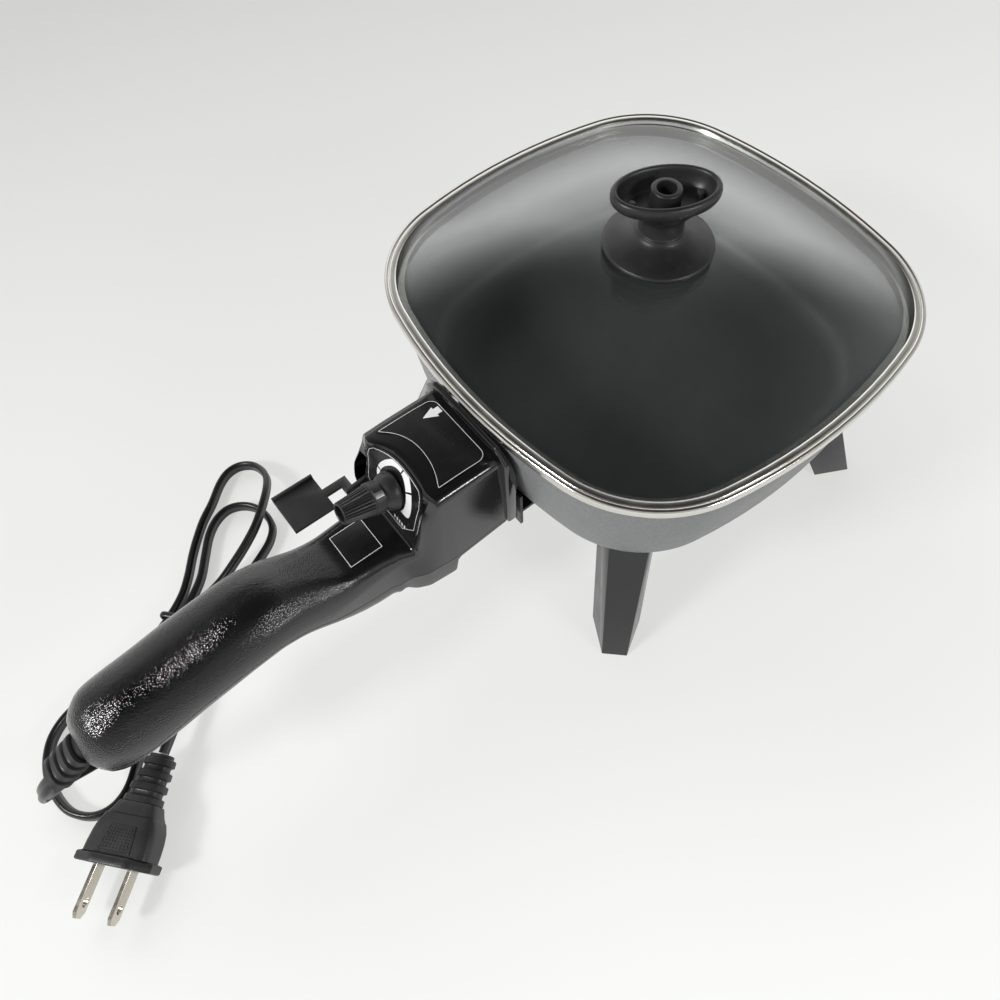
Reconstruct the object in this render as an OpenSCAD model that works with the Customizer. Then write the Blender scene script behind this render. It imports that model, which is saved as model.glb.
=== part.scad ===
// Square electric skillet: pan on four splayed legs, lift-off glass lid and a
// pull-off handle that holds the thermostat, the lock lever and a short cord.
// X runs from the handle to the pan, Z is up, and the floor is at z = 0.

/* [Lid] */
// Half of the width across the lid's flats
lid_half = 89; // [80:1:100]
// Radius of the lid's corners
lid_corner_r = 50.3; // [44:1:56]
// How far each side bows outward
side_bulge = 3.7; // [2:0.1:6]
// Thickness of the glass
glass_t = 2.8; // [2:0.1:4]
// Rise of the glass from its edge to its flat top
dome_rise = 16; // [8:0.2:20]
// Thickness of the steel of the lid's rim band
band_t = 0.5; // [0.4:0.1:0.8]
// Width of the rim band over the glass
band_w = 4.3; // [3:0.1:6]
// Radius of the knob's skirt
skirt_r = 20; // [16:0.5:26]
// Height of the knob above the glass
knob_h = 25.3; // [22:0.1:34]
// Longer half axis of the oval grip cup
cup_a = 19.2; // [16:0.2:24]
// Shorter half axis of the oval grip cup
cup_b = 12.2; // [11:0.2:18]
// Direction of the cup's long axis
cup_turn = -27; // [-90:1:90]

/* [Pan] */
// Height of the pan's flat underside above the floor
base_z = 60; // [50:1:70]
// Height of the pan from underside to rim
pan_h = 46.2; // [40:1:60]
// Thickness of the pan's floor
floor_t = 5; // [4.5:0.1:7]
// Thickness of the pan's wall
wall_t = 2.6; // [2:0.1:4]
// Distance of the rim inside the lid's edge
rim_inset = 2.8; // [2:0.1:4]
// How much narrower the wall's foot is than the rim, per side
wall_draft = 6.2; // [2:0.2:9]
// Radius of the outer bottom edge
base_round = 12; // [8:0.5:16]
// Radius of the inner bottom edge
inner_round = 9.4; // [6:0.2:14]

/* [Legs] */
// Reach of the foot's outer edge beyond the lid's flats
foot_beyond = 18; // [10:1:23]
// Distance of the leg's outer edge inside the lid's flats at its top
leg_top_inside = 6; // [2:1:10]
// Depth of the foot along the diagonal
foot_depth = 16; // [12:1:20]
// Depth of the leg at its top
leg_top_depth = 23; // [18:1:28]
// Width of the front face at the foot
foot_front_w = 10.4; // [8:0.2:14]
// Width of the front face at the top
leg_front_w = 15.4; // [12:0.2:20]
// Extra width from the front face to the rear edge, per side
leg_flare = 4.8; // [3:0.2:7]
// Thickness of the leg's walls
leg_wall = 2.8; // [2:0.1:4]
// Thickness of the leg's top plate
leg_plate_t = 4.6; // [3:0.2:6]

/* [Heater] */
// Radius of the heating ring
heater_r = 42; // [36:1:46]
// Radius of the heating tube
tube_r = 3.9; // [3:0.1:4.4]
// Distance of each terminal pin from the middle
terminal_y = 9.5; // [8.5:0.5:10]
// Height of the terminal pins above the floor
terminal_z = 64; // [62:0.5:65]
// Radius of a terminal pin
pin_r = 1.8; // [1.5:0.1:2]
// Radius of a ceramic insulator
insulator_r = 3.6; // [3.2:0.1:3.8]
// Length of each pin beyond the pan's lug
pin_reach = 22; // [16:1:24]

/* [Handle] */
// Reach of the handle's free end from the middle of the pan
grip_end = 245.5; // [235:1:260]
// Wall of the two handle shells
shell_wall = 2.4; // [2:0.1:3]
// Height of the control head's top above the floor
head_top = 95.5; // [92:0.5:98]
// Height of the seam around the control head
head_seam = 57.5; // [56.5:0.5:58.5]
// Half width of the head at its seam
head_half = 23; // [22:0.5:24]
// Half width of the head at its top
head_top_half = 20.5; // [19.5:0.5:21.5]
// Gap in the seam between the two shells
seam_gap = 0.3; // [0.2:0.1:0.6]
// Half width of the front collar
collar_half = 23.5; // [23:0.5:25]
// Thickness of the label plates
label_t = 0.3; // [0.2:0.1:0.5]

/* [Dial and lever] */
// Length of the temperature knob
dial_len = 20; // [16:1:24]
// Radius of the temperature knob over its ribs
dial_r = 6.9; // [6:0.1:8]
// Radius of the smooth collar that carries the pointer
collar_r = 6; // [5:0.1:7]
// Number of ribs around the temperature knob
dial_ribs = 28; // [16:1:32]
// Turn of the knob's pointer from the top of the dial face
pointer_turn = -30; // [-120:5:120]
// Radius of the dial shaft
shaft_r = 2; // [1.6:0.1:2.4]
// Thickness of the lever's sheet steel
lever_t = 1.4; // [1:0.1:1.6]
// Width of the lever's finger tab
tab_w = 16.7; // [12:0.5:20]
// Height of the tab above the floor
tab_z = 70; // [69.6:0.1:71]

/* [Cord and plug] */
// Width of the flat two-core cord
cord_w = 6.2; // [5:0.2:6.4]
// Thickness of the flat cord
cord_t = 3.4; // [2.6:0.1:3.6]
// Length of a plug blade
blade_len = 17; // [15:0.5:18]

/* [Hidden] */
$fn = 48;

// The handle's lengths along X hold for this lid, and it moves with the pan's wall
drawn_half = 89;
wall_shift = drawn_half - lid_half;

// The origin stands under the middle of the box that holds pan and handle
origin_x = (grip_end - wall_shift - lid_half) / 2;

run_gap = 0.05;      // radial clearance of a shaft in its bore
rest_gap = 0.3;      // gap between a loose piece and its seat
rim_z = base_z + pan_h;
floor_z = base_z + floor_t;
band_z = rim_z + rest_gap;
glass_edge_z = band_z + 0.6 + glass_t;
glass_top = glass_edge_z + dome_rise;
foot_inset = rim_inset + wall_draft;
foot_r = lid_half + foot_beyond;
leg_top_r = lid_half - leg_top_inside;
blade_half_gap = 6.35;

// ---- outlines ----------------------------------------------------------

corner_c = lid_half - side_bulge - lid_corner_r;
k_c = corner_c - lid_half;
side_r = (k_c * k_c + corner_c * corner_c - lid_corner_r * lid_corner_r) / (2 * side_bulge);
tangent_a = atan2(corner_c, corner_c - lid_half + side_r);
side_steps = 6;
corner_steps = 12;

function turned(p, a) = [p[0] * cos(a) - p[1] * sin(a), p[0] * sin(a) + p[1] * cos(a)];

// The lid's outline, moved inward by an inset and scaled about the middle
function outline(inset, scale = 1) = [
    for (q = [0:3])
        each concat(
            [for (i = [0:side_steps - 1])
                let (a = tangent_a * (2 * i / side_steps - 1), r = side_r - inset)
                scale * turned([lid_half - side_r + r * cos(a), r * sin(a)], 90 * q)],
            [for (i = [0:corner_steps - 1])
                let (a = tangent_a + (90 - 2 * tangent_a) * i / corner_steps, r = lid_corner_r - inset)
                scale * turned([corner_c + r * cos(a), corner_c + r * sin(a)], 90 * q)])
];

function at_height(points, z) = [for (p = points) [p[0], p[1], z]];

// A skin through rings that all have as many points, closed by flat ends
module loft(rings) {
    n = len(rings[0]);
    m = len(rings);
    sides = [for (j = [0:m - 2], i = [0:n - 1])
        let (a = j * n + i, b = j * n + (i + 1) % n)
        each [[a, a + n, b], [b, a + n, b + n]]];
    first = [[for (i = [0:n - 1]) i]];
    last = [[for (i = [n - 1:-1:0]) (m - 1) * n + i]];
    polyhedron(points = [for (r = rings) each r], faces = concat(first, sides, last), convexity = 8);
}

// A skin through rings whose last ring joins the first one
module closed_loft(rings) {
    n = len(rings[0]);
    m = len(rings);
    sides = [for (j = [0:m - 1], i = [0:n - 1])
        let (k = (j + 1) % m, a = j * n + i, b = j * n + (i + 1) % n)
        each [[a, k * n + i, b], [b, k * n + i, k * n + (i + 1) % n]]];
    polyhedron(points = [for (r = rings) each r], faces = sides, convexity = 8);
}

module placed() {
    translate([origin_x, 0, 0]) children();
}

// The same for the handle, which keeps its distance from the pan's wall
module hung() {
    placed() translate([wall_shift, 0, 0]) children();
}

// A screw with a round head below and its shank pointing up
module screw(r, len, head_r, head_h) {
    difference() {
        union() {
            cylinder(r = r, h = len);
            translate([0, 0, -head_h]) cylinder(r = head_r, h = head_h);
        }
        for (a = [0, 90])
            rotate(a) translate([-head_r * 0.7, -0.5, -head_h - 0.5])
                cube([head_r * 1.4, 1, head_h * 0.5 + 0.5]);
    }
}

// ---- pan ---------------------------------------------------------------

round_steps = 4;
lug_front = lid_half - 8;
lug_rear = lid_half - 19;
lug_half = terminal_y + insulator_r + 1.4;
lug_bottom = base_z - 9;
lug_top = terminal_z + insulator_r + 1.4;
leg_screw_at = leg_top_r - 13;
leg_screw_r = 1.9;
leg_screw_in = 3.4;
bracket_screw_x = lid_half - 25;
bracket_screw_y = 20;
bracket_screw_r = 1.5;
bracket_t = 1.6;
probe_r = 2.5;
probe_bore_end = lid_half - 13;

module pan_outside() {
    loft([
        for (i = [round_steps:-1:0])
            let (a = 90 * i / round_steps)
            at_height(outline(foot_inset + base_round * (1 - cos(a))),
                base_z + base_round * (1 - sin(a))),
        at_height(outline(rim_inset), rim_z)
    ]);
}

module pan_inside() {
    above = 1;
    slope = (foot_inset - rim_inset) / (pan_h - base_round);
    loft([
        for (i = [round_steps:-1:0])
            let (a = 90 * i / round_steps)
            at_height(outline(foot_inset + wall_t + inner_round * (1 - cos(a))),
                      floor_z + inner_round * (1 - sin(a))),
        at_height(outline(rim_inset + wall_t - slope * above), rim_z + above)
    ]);
}

module pan() {
    color("dimgray") placed() difference() {
        union() {
            pan_outside();
            translate([-lug_front, -lug_half, lug_bottom])
                cube([lug_front - lug_rear, 2 * lug_half, lug_top - lug_bottom]);
        }
        pan_inside();
        for (a = [45:90:315])
            rotate(a) translate([leg_screw_at, 0, base_z - 1])
                cylinder(r = leg_screw_r + run_gap, h = 1 + leg_screw_in + rest_gap);
        for (s = [-1, 1]) {
            translate([-bracket_screw_x, s * bracket_screw_y, base_z - 1])
                cylinder(r = bracket_screw_r + run_gap, h = 1 + leg_screw_in + rest_gap);
            translate([-lug_front - 1, s * terminal_y, terminal_z]) rotate([0, 90, 0])
                cylinder(r = insulator_r + run_gap, h = 1 + lug_front - lug_rear - 1);
        }
        translate([-lug_front - 1, 0, terminal_z]) rotate([0, 90, 0])
            cylinder(r = probe_r + 2 * run_gap, h = 1 + lug_front - probe_bore_end);
    }
}

// A leg in the diagonal's own frame: x points away from the middle
function leg_section(reach, depth, front_w, z, inner) = [
    [reach - inner, -front_w / 2 + inner * 0.8, z],
    [reach - inner, front_w / 2 - inner * 0.8, z],
    [reach - depth - (inner > 0 ? 3 : 0), front_w / 2 + leg_flare - inner, z],
    [reach - depth - (inner > 0 ? 3 : 0), -front_w / 2 - leg_flare + inner, z]
];

module leg(turn) {
    plate_z = base_z - leg_plate_t;
    run = leg_top_r - foot_r;
    share = plate_z / base_z;
    color("#111111") placed() rotate(turn) difference() {
        loft([
            leg_section(foot_r, foot_depth, foot_front_w, 0, 0),
            leg_section(leg_top_r, leg_top_depth, leg_front_w, base_z, 0)
        ]);
        loft([
            leg_section(foot_r - run / base_z, foot_depth, foot_front_w, -1, leg_wall),
            leg_section(foot_r + run * share, foot_depth + (leg_top_depth - foot_depth) * share,
                        foot_front_w + (leg_front_w - foot_front_w) * share, plate_z, leg_wall)
        ]);
        translate([leg_screw_at, 0, plate_z - 1])
            cylinder(r = leg_screw_r + run_gap, h = leg_plate_t + 2);
    }
}

module leg_screw(turn) {
    color("silver") placed() rotate(turn) translate([leg_screw_at, 0, base_z - leg_plate_t])
        screw(leg_screw_r, leg_plate_t + leg_screw_in, 3.8, 2.2);
}

module heating_element() {
    z = base_z - tube_r - rest_gap;
    spread = asin(terminal_y / heater_r);
    end_x = heater_r * cos(spread);
    color("gray") placed() {
        translate([0, 0, z]) rotate(180 + spread) rotate_extrude(angle = 360 - 2 * spread)
            translate([heater_r, 0]) circle(r = tube_r);
        for (s = [-1, 1]) {
            translate([-lug_rear, s * terminal_y, z]) rotate([0, 90, 0])
                cylinder(r = tube_r, h = lug_rear - end_x);
            translate([-end_x, s * terminal_y, z]) sphere(r = tube_r);
        }
    }
}

module terminal_pin(s) {
    color("silver") placed() translate([-lug_front - pin_reach, s * terminal_y, terminal_z])
        rotate([0, 90, 0])
        union() {
            cylinder(r = pin_r, h = pin_reach + lug_front - lug_rear - 2);
            translate([0, 0, -0.8]) cylinder(r1 = pin_r - 0.6, r2 = pin_r, h = 0.8);
        }
}

insulator_out = 2.4;

module insulator(s) {
    color("ivory") placed() translate([-lug_front - insulator_out, s * terminal_y, terminal_z])
        rotate([0, 90, 0])
        difference() {
            cylinder(r = insulator_r, h = insulator_out + lug_front - lug_rear - 1.2);
            translate([0, 0, -1]) cylinder(r = pin_r + run_gap, h = 30);
        }
}

// Steel bracket under the pan whose upright ends face the handle
bracket_front = lid_half - 6;
bracket_rear = lid_half - 31;
bracket_in = lug_half + 0.8;
bracket_out = 24;
catch_t = 1.2;
catch_top = 70;
catch_y = 17.5;
catch_half = 1.9;
catch_z = 65;

module latch_bracket() {
    color("#222222") placed() difference() {
        union() {
            for (s = [-1, 1]) {
                low = s > 0 ? bracket_in : -bracket_out;
                translate([-bracket_front, low, base_z - bracket_t])
                    cube([bracket_front - bracket_rear, bracket_out - bracket_in, bracket_t]);
                translate([-bracket_front, low, base_z - 10])
                    cube([catch_t, bracket_out - bracket_in, catch_top - base_z + 10]);
            }
            translate([-lug_rear + 1, -bracket_out, base_z - bracket_t])
                cube([lug_rear - 1 - bracket_rear, 2 * bracket_out, bracket_t]);
        }
        for (s = [-1, 1])
            translate([-bracket_screw_x, s * bracket_screw_y, base_z - 5])
                cylinder(r = bracket_screw_r + run_gap, h = 10);
        for (s = [-1, 1])
            translate([-lug_rear - 1, s * terminal_y - tube_r - 1, base_z - 5])
                cube([20, 2 * tube_r + 2, 4.9]);
        // notch that the lever's nose lies in
        translate([-bracket_front - 1, bracket_in - 1, base_z - 12])
            cube([catch_t + 2, catch_y + catch_half - bracket_in + 1, catch_z - base_z + 12]);
        translate([-bracket_front - 1, bracket_in - 1, base_z - 5])
            cube([8.4, catch_y + catch_half - bracket_in + 1, 7]);
    }
}

module bracket_screw(s) {
    color("silver") placed() translate([-bracket_screw_x, s * bracket_screw_y, base_z - bracket_t])
        screw(bracket_screw_r, bracket_t + leg_screw_in, 3, 1.8);
}

// ---- lid ---------------------------------------------------------------

glass_inset = 1.6;
flat_share = 0.22;
knob_hole_r = 2.6;
knob_screw_r = 2;
gasket_t = 0.8;
knob_z = glass_top + gasket_t;
neck_r = 7.9;

rim_share = 0.95;      // the dome starts here, inside the rim band
function dome(s) = s >= rim_share ? 0
    : dome_rise * (1 - pow(s / rim_share, 2.2)) / (1 - pow(flat_share / rim_share, 2.2));

module lid_glass() {
    shares = [1, rim_share, 0.9, 0.82, 0.7, 0.55, 0.38, flat_share];
    color([0.5, 0.55, 0.6, 0.5]) placed() difference() {
        loft(concat(
            [for (i = [len(shares) - 1:-1:0])
                at_height(outline(glass_inset, shares[i]), glass_edge_z - glass_t + dome(shares[i]))],
            [for (s = shares) at_height(outline(glass_inset, s), glass_edge_z + dome(s))]
        ));
        translate([0, 0, glass_top - 10]) cylinder(r = knob_hole_r, h = 20);
    }
}

// Rolled steel band that grips the glass and hangs a locating skirt in the pan
module lid_band() {
    low = band_z;
    under = glass_edge_z - glass_t - 0.05;
    over = glass_edge_z + 0.05;
    top = over + 0.55;
    skirt_out = rim_inset + wall_t + 1.2;
    profile = [
        [0.9, low], [0, low + 0.9], [0, top - 0.9], [0.9, top],
        [band_w, top], [band_w, over], [glass_inset - 0.1, over], [glass_inset - 0.1, under],
        [skirt_out + band_t, under], [skirt_out + band_t, low - 3], [skirt_out, low - 3],
            [skirt_out, low]
    ];
    color("lightgray") placed() closed_loft([for (i = [len(profile) - 1:-1:0])
        at_height(outline(profile[i][0]), profile[i][1])]);
}

module knob_gasket() {
    color("#202020") placed() translate([0, 0, glass_top]) difference() {
        cylinder(r = skirt_r - 2.5, h = gasket_t);
        translate([0, 0, -1]) cylinder(r = knob_screw_r + run_gap, h = gasket_t + 2);
    }
}

function oval(a, b, z, n = 48) = [for (i = [0:n - 1])
    let (t = 360 * i / n) [a * cos(t), b * sin(t), z]];

// Skirt, waist and the hollow oval cup that the fingers hold
module lid_knob() {
    top = knob_h - gasket_t;
    lip = 2.8;
    boss_r = 5.4;
    boss_hole_r = 3.4;
    cup_floor = top - 6.5;
    color("#151515") placed() translate([0, 0, knob_z]) difference() {
        union() {
            rotate_extrude() polygon([
                [0, 0], [skirt_r - 0.4, 0], [skirt_r, 1.2], [skirt_r - 0.5, 2.1],
                [skirt_r - 6, 4.3], [neck_r + 1.6, 6.2], [neck_r + 0.2, 7.4], [neck_r, 9],
                [neck_r, top - 11], [0, top - 11]
            ]);
            rotate(cup_turn) difference() {
                loft([
                    oval(neck_r - 1, neck_r - 1, top - 13), oval(neck_r + 3.2, neck_r + 1.4, top - 9),
                    oval(cup_a - 2.2, cup_b - 1.8, top - 5), oval(cup_a - 0.3, cup_b - 0.3, top - 2.8),
                    oval(cup_a, cup_b, top - 1.4), oval(cup_a - 1, cup_b - 1, top)
                ]);
                loft([
                    oval(cup_a - lip - 3.6, cup_b - lip - 2.2, cup_floor),
                    oval(cup_a - lip, cup_b - lip, top + 0.5)
                ]);
            }
            cylinder(r = boss_r, h = top - 0.8);
        }
        translate([0, 0, top - 8]) cylinder(r = boss_hole_r, h = 10);
        translate([0, 0, -1]) cylinder(r = knob_screw_r + run_gap, h = top);
    }
}

module knob_screw() {
    top = knob_h - gasket_t - 8;
    color("silver") placed() translate([0, 0, knob_z + top]) rotate([180, 0, 0])
        screw(knob_screw_r, top + gasket_t + glass_t + 4.6, 3.2, 2.2);
}

module knob_washer() {
    color("silver") placed() translate([0, 0, glass_top - glass_t - 1]) difference() {
        cylinder(r = 8, h = 1);
        translate([0, 0, -1]) cylinder(r = knob_screw_r + run_gap, h = 3);
    }
}

module knob_nut() {
    color("silver") placed() translate([0, 0, glass_top - glass_t - 4]) difference() {
        cylinder(r = 4, h = 3, $fn = 6);
        translate([0, 0, -1]) cylinder(r = knob_screw_r + run_gap, h = 5);
    }
}

// ---- handle shells -----------------------------------------------------

head_rear = 117;     // top edge of the dial face
head_front = 88.3;   // where the shells meet the collar
face_foot = 124.2;   // foot of the dial face
face_foot_z = 68.3;
neck_top = 67.5;

// Height of the top surface along the handle
top_line = [
    [-grip_end, 58.5], [-grip_end + 1.2, 64], [-grip_end + 4, 69], [-grip_end + 9, 72.4],
    [-grip_end + 17.5, 74.2], [-217, 74.6], [-206, 76], [-196, 77.7], [-185, 79.7], [-176, 80.2],
    [-168, 78.2], [-160, 73.2], [-154, 69.6], [-149, neck_top], [-131, neck_top],
    [-face_foot, face_foot_z], [-head_rear, head_top], [-head_front, head_top]
];

// Height of the underside along the handle
low_line = [
    [-grip_end, 56], [-grip_end + 1.2, 53], [-grip_end + 4, 51.2], [-grip_end + 9, 50.2],
    [-grip_end + 17.5, 50.2], [-217, 50.5], [-206, 51.9], [-196, 53.6], [-185, 55.5], [-176, 55.9],
    [-168, 52.4], [-160, 46.4], [-154, 42.6], [-149, 40.4], [-142, 39.2], [-133.5, 39.4],
    [-131.5, 45.8], [-112.4, 45.8], [-112, 55], [-head_front, 55]
];

// Height of the seam between the shells
seam_line = [
    [-grip_end, 57.2], [-228, 58], [-208, 63], [-193, 65], [-178, 65.8], [-168, 62.2],
    [-158, 54.6], [-150, 51.4], [-142, 50.2], [-133, 50], [-130.5, 54], [-129, head_seam],
    [-head_front, head_seam]
];

// Half width along the handle at the seam
width_line = [
    [-grip_end, 5], [-grip_end + 1.2, 9], [-grip_end + 4, 12.4], [-grip_end + 9, 15],
    [-grip_end + 17.5, 16.3], [-196, 16.4], [-180, 16.2], [-168, 15.4], [-158, 14.7], [-149, 14.2],
    [-136, 14.6], [-132, 16.2], [-129, 19.5], [-face_foot, 21.8], [-112, head_half],
        [-head_front, head_half - 1]
];

// Half width at the top surface, and the rounding of the top edges
crown_line = [
    [-grip_end, 5], [-grip_end + 1.2, 9], [-grip_end + 4, 12.4], [-grip_end + 9, 15],
    [-grip_end + 17.5, 16.3], [-196, 16.4], [-180, 16.2], [-168, 15.4], [-158, 14.7], [-149, 14.2],
    [-136, 14.4], [-131, 15.4], [-face_foot, 18.4], [-head_rear, head_top_half],
        [-head_front, head_top_half]
];
round_line = [[-grip_end, 4.8], [-grip_end + 4, 12], [-grip_end + 17.5, 15.4], [-168, 14.6],
    [-149, 6], [-131, 5],
              [-face_foot, 4], [-head_front, 4]];
round_up_line = [[-grip_end, 1.2], [-grip_end + 4, 11], [-grip_end + 17.5, 15.6], [-206, 12.8],
    [-176, 14],
                 [-160, 15], [-149, 9], [-131, 6], [-face_foot, 4], [-head_front, 4]];
round_low_line = [[-grip_end, 1], [-grip_end + 17.5, 7.4], [-206, 10.6], [-176, 9.6], [-149, 9],
    [-135, 8],
                  [-131.5, 2], [-112.4, 2], [-112, 0.8], [-head_front, 0.8]];

stations = [
    -grip_end, -grip_end + 1.2, -grip_end + 4, -grip_end + 9, -grip_end + 17.5, -217, -206, -196,
        -185, -176,
    -168, -160, -154, -149, -142, -133.5, -131.5, -129, -face_foot, -head_rear, -112.4, -112, -head_front
];
arc_steps = 5;

// One cross-section from seam to crown; up is 1 for the top shell, -1 below
function shell_ring(x, seam, peak, half, crown, ry, rz, up, extra) =
    let (h = abs(peak - seam), a = min(ry, crown - 0.2), b = min(rz, h - 0.05),
         right = concat([[half, -extra]],
                        [for (i = [0:arc_steps]) let (t = 90 * i / arc_steps)
                            [crown - a + a * cos(t), h - b + b * sin(t)]]),
         n = len(right),
         whole = concat(right, [for (i = [n - 1:-1:0]) [-right[i][0], right[i][1]]]))
    up > 0 ? [for (p = whole) [x, p[0], seam + p[1]]]
           : [for (i = [2 * n - 1:-1:0]) [x, whole[i][0], seam - whole[i][1]]];

function lowest(f, x, d) = min(lookup(x - d, f), lookup(x, f), lookup(x + d, f));
function highest(f, x, d) = max(lookup(x - d, f), lookup(x, f), lookup(x + d, f));

module shell_outside(up) {
    loft([for (x = stations)
        let (seam = lookup(x, seam_line) - (up > 0 ? 0 : seam_gap))
        shell_ring(x, seam, lookup(x, up > 0 ? top_line : low_line), lookup(x, width_line),
                   lookup(x, up > 0 ? crown_line : width_line), lookup(x, round_line),
                   lookup(x, up > 0 ? round_up_line : round_low_line), up, 0)]);
}

module shell_inside(up, from, to) {
    w = shell_wall;
    mid = [for (x = stations) if (x > from + 0.5 && x < to - 0.5) x];
    loft([for (x = concat([from], mid, [to]))
        let (seam = lookup(x, seam_line) - (up > 0 ? 0 : seam_gap),
             peak = up > 0 ? lowest(top_line, x, w) - w : highest(low_line, x, w) + w,
             half = lowest(width_line, x, w) - w)
        shell_ring(x, seam, peak, half, up > 0 ? lowest(crown_line, x, w) - w : half,
                   max(lookup(x, round_line) - w, 1),
                   max(lookup(x, up > 0 ? round_up_line : round_low_line) - w, 0.6), up, 1)]);
}

shell_screws = [-215, -172, -140];
shell_screw_r = 1.4;
boss_r = 3.4;
relief_from = [-grip_end + 4, 0, 58.2];
relief_to = [-258, 1, 48];
relief_half = 6;
relief_thick = 4;

function unit(v) = v / norm(v);
relief_dir = unit(relief_to - relief_from);
relief_side = unit(cross([0, 0, 1], relief_dir));
relief_up = cross(relief_dir, relief_side);

// The slot that the strain relief is held in
module relief_slot(clearance) {
    a = relief_half - 1 + clearance;
    b = relief_thick - 1 + clearance;
    loft([for (t = [-6, 10])
        [for (i = [0:11]) let (q = 360 * i / 12)
            relief_from + t * relief_dir + a * cos(q) * relief_side + b * sin(q) * relief_up]]);
}

pivot_x = 98;
pivot_z = 75;
slot_y = 17.5;
slot_half = 1.7;

module handle_top_shell() {
    color("#0c0c0c") hung() difference() {
        union() {
            difference() {
                shell_outside(1);
                shell_inside(1, -grip_end + shell_wall + 0.8, -head_front + 1);
            }
            for (x = shell_screws)
                translate([x, 0, lookup(x, seam_line) + 0.5])
                    cylinder(r = boss_r, h = lookup(x, top_line) - lookup(x, seam_line) - 1.7);
        }
        for (x = shell_screws)
            translate([x, 0, lookup(x, seam_line)])
                cylinder(r = shell_screw_r + run_gap, h = 8.5);
        dial_place(-8) cylinder(r = shaft_r + 0.6, h = 12);
        translate([-132, slot_y - slot_half, tab_z - 1.4]) cube([22, 2 * slot_half, 17]);
        relief_slot(0.15);
    }
}

module handle_bottom_shell() {
    color("#0f0f0f") hung() difference() {
        union() {
            difference() {
                shell_outside(-1);
                shell_inside(-1, -grip_end + shell_wall + 0.8, -112.4 - shell_wall);
            }
            for (x = shell_screws)
                translate([x, 0, lookup(x, low_line) + 1.2])
                    cylinder(r = boss_r, h = lookup(x, seam_line) - seam_gap - lookup(x,
                        low_line) - 1.4);
        }
        for (x = shell_screws) {
            translate([x, 0, lookup(x, low_line) - 3]) cylinder(r = shell_screw_r + run_gap, h = 30);
            translate([x, 0, lookup(x, low_line) - 4]) cylinder(r = 2.9, h = 6);
        }
        translate([-pivot_x - 2, slot_y - slot_half, 50]) cube([20, 2 * slot_half, 10]);
        relief_slot(0.15);
    }
}

module shell_screw(i) {
    x = shell_screws[i];
    low = lookup(x, low_line) + 2;
    color("silver") hung() translate([x, 0, low])
        screw(shell_screw_r, lookup(x, seam_line) + 8 - low, 2.7, 1.6);
}

// Frame that closes the head's front and follows the pan's wall
module front_collar() {
    back = -head_front;
    foot = -83.6;
    top_z = rim_z - 5.7;
    color("#0c0c0c") hung() difference() {
        intersection() {
            rotate([90, 0, 0]) translate([0, 0, -collar_half]) linear_extrude(2 * collar_half)
                polygon([[back, 56], [foot, 56], [foot, 86], [-86.3, top_z], [back, top_z]]);
            rotate([90, 0, 90]) translate([0, 0, -100]) linear_extrude(30)
                polygon([
                    [-collar_half, 50], [collar_half, 50], [collar_half, top_z - 5.4],
                    [collar_half - 5.4, top_z], [-collar_half + 5.4, top_z], [-collar_half, top_z - 5.4]
                ]);
        }
        translate([-100, -lug_half - 0.5, 50]) cube([30, lug_half + 0.5 + slot_y + slot_half, 22.6]);
    }
}

module rounded_plate(points, t) {
    linear_extrude(t) polygon(points);
}

// Blank plate on the head, its rear edge curved round the dial
module head_label() {
    rear_r = 34;
    rear_half = 15.6;
    rear_a = asin(rear_half / rear_r);
    color("#050505") hung() translate([0, 0, head_top]) rounded_plate(concat(
        [for (i = [-6:6]) let (a = rear_a * i / 6)
            [-111 + rear_r * cos(a) - rear_r * cos(rear_a), rear_r * sin(a)]],
        [for (i = [0:4]) let (a = 90 - 90 * i / 4) [-93 + 3 * cos(a), 13.6 + 3 * sin(a)]],
        [for (i = [0:4]) let (a = -90 * i / 4) [-93 + 3 * cos(a), -13.6 + 3 * sin(a)]]
    ), label_t);
}

module neck_label() {
    color("#050505") hung() translate([-145.6, -7.6, neck_top]) cube([13.6, 15.2, label_t]);
}

// ---- dial --------------------------------------------------------------

face_tilt = atan((face_foot - head_rear) / (head_top - face_foot_z));
dial_z = 84.9;
dial_x = -head_rear - (head_top - dial_z) * tan(face_tilt);

// Puts things on the dial's axis, t above the dial face
module dial_place(t) {
    translate([dial_x, 0, dial_z]) rotate([0, -90 + face_tilt, 0]) translate([0, 0, t]) children();
}

module dial_plate() {
    color("#050505") hung() dial_place(0) difference() {
        rounded_plate([[9.4, 13], [5, 16], [-8, 15.4], [-14.6, 9], [-14.6, -9], [-8, -15.4],
            [5, -16], [9.4, -13]],
                      label_t);
        translate([0, 0, -1]) cylinder(r = 5.4, h = 3);
    }
}

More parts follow.
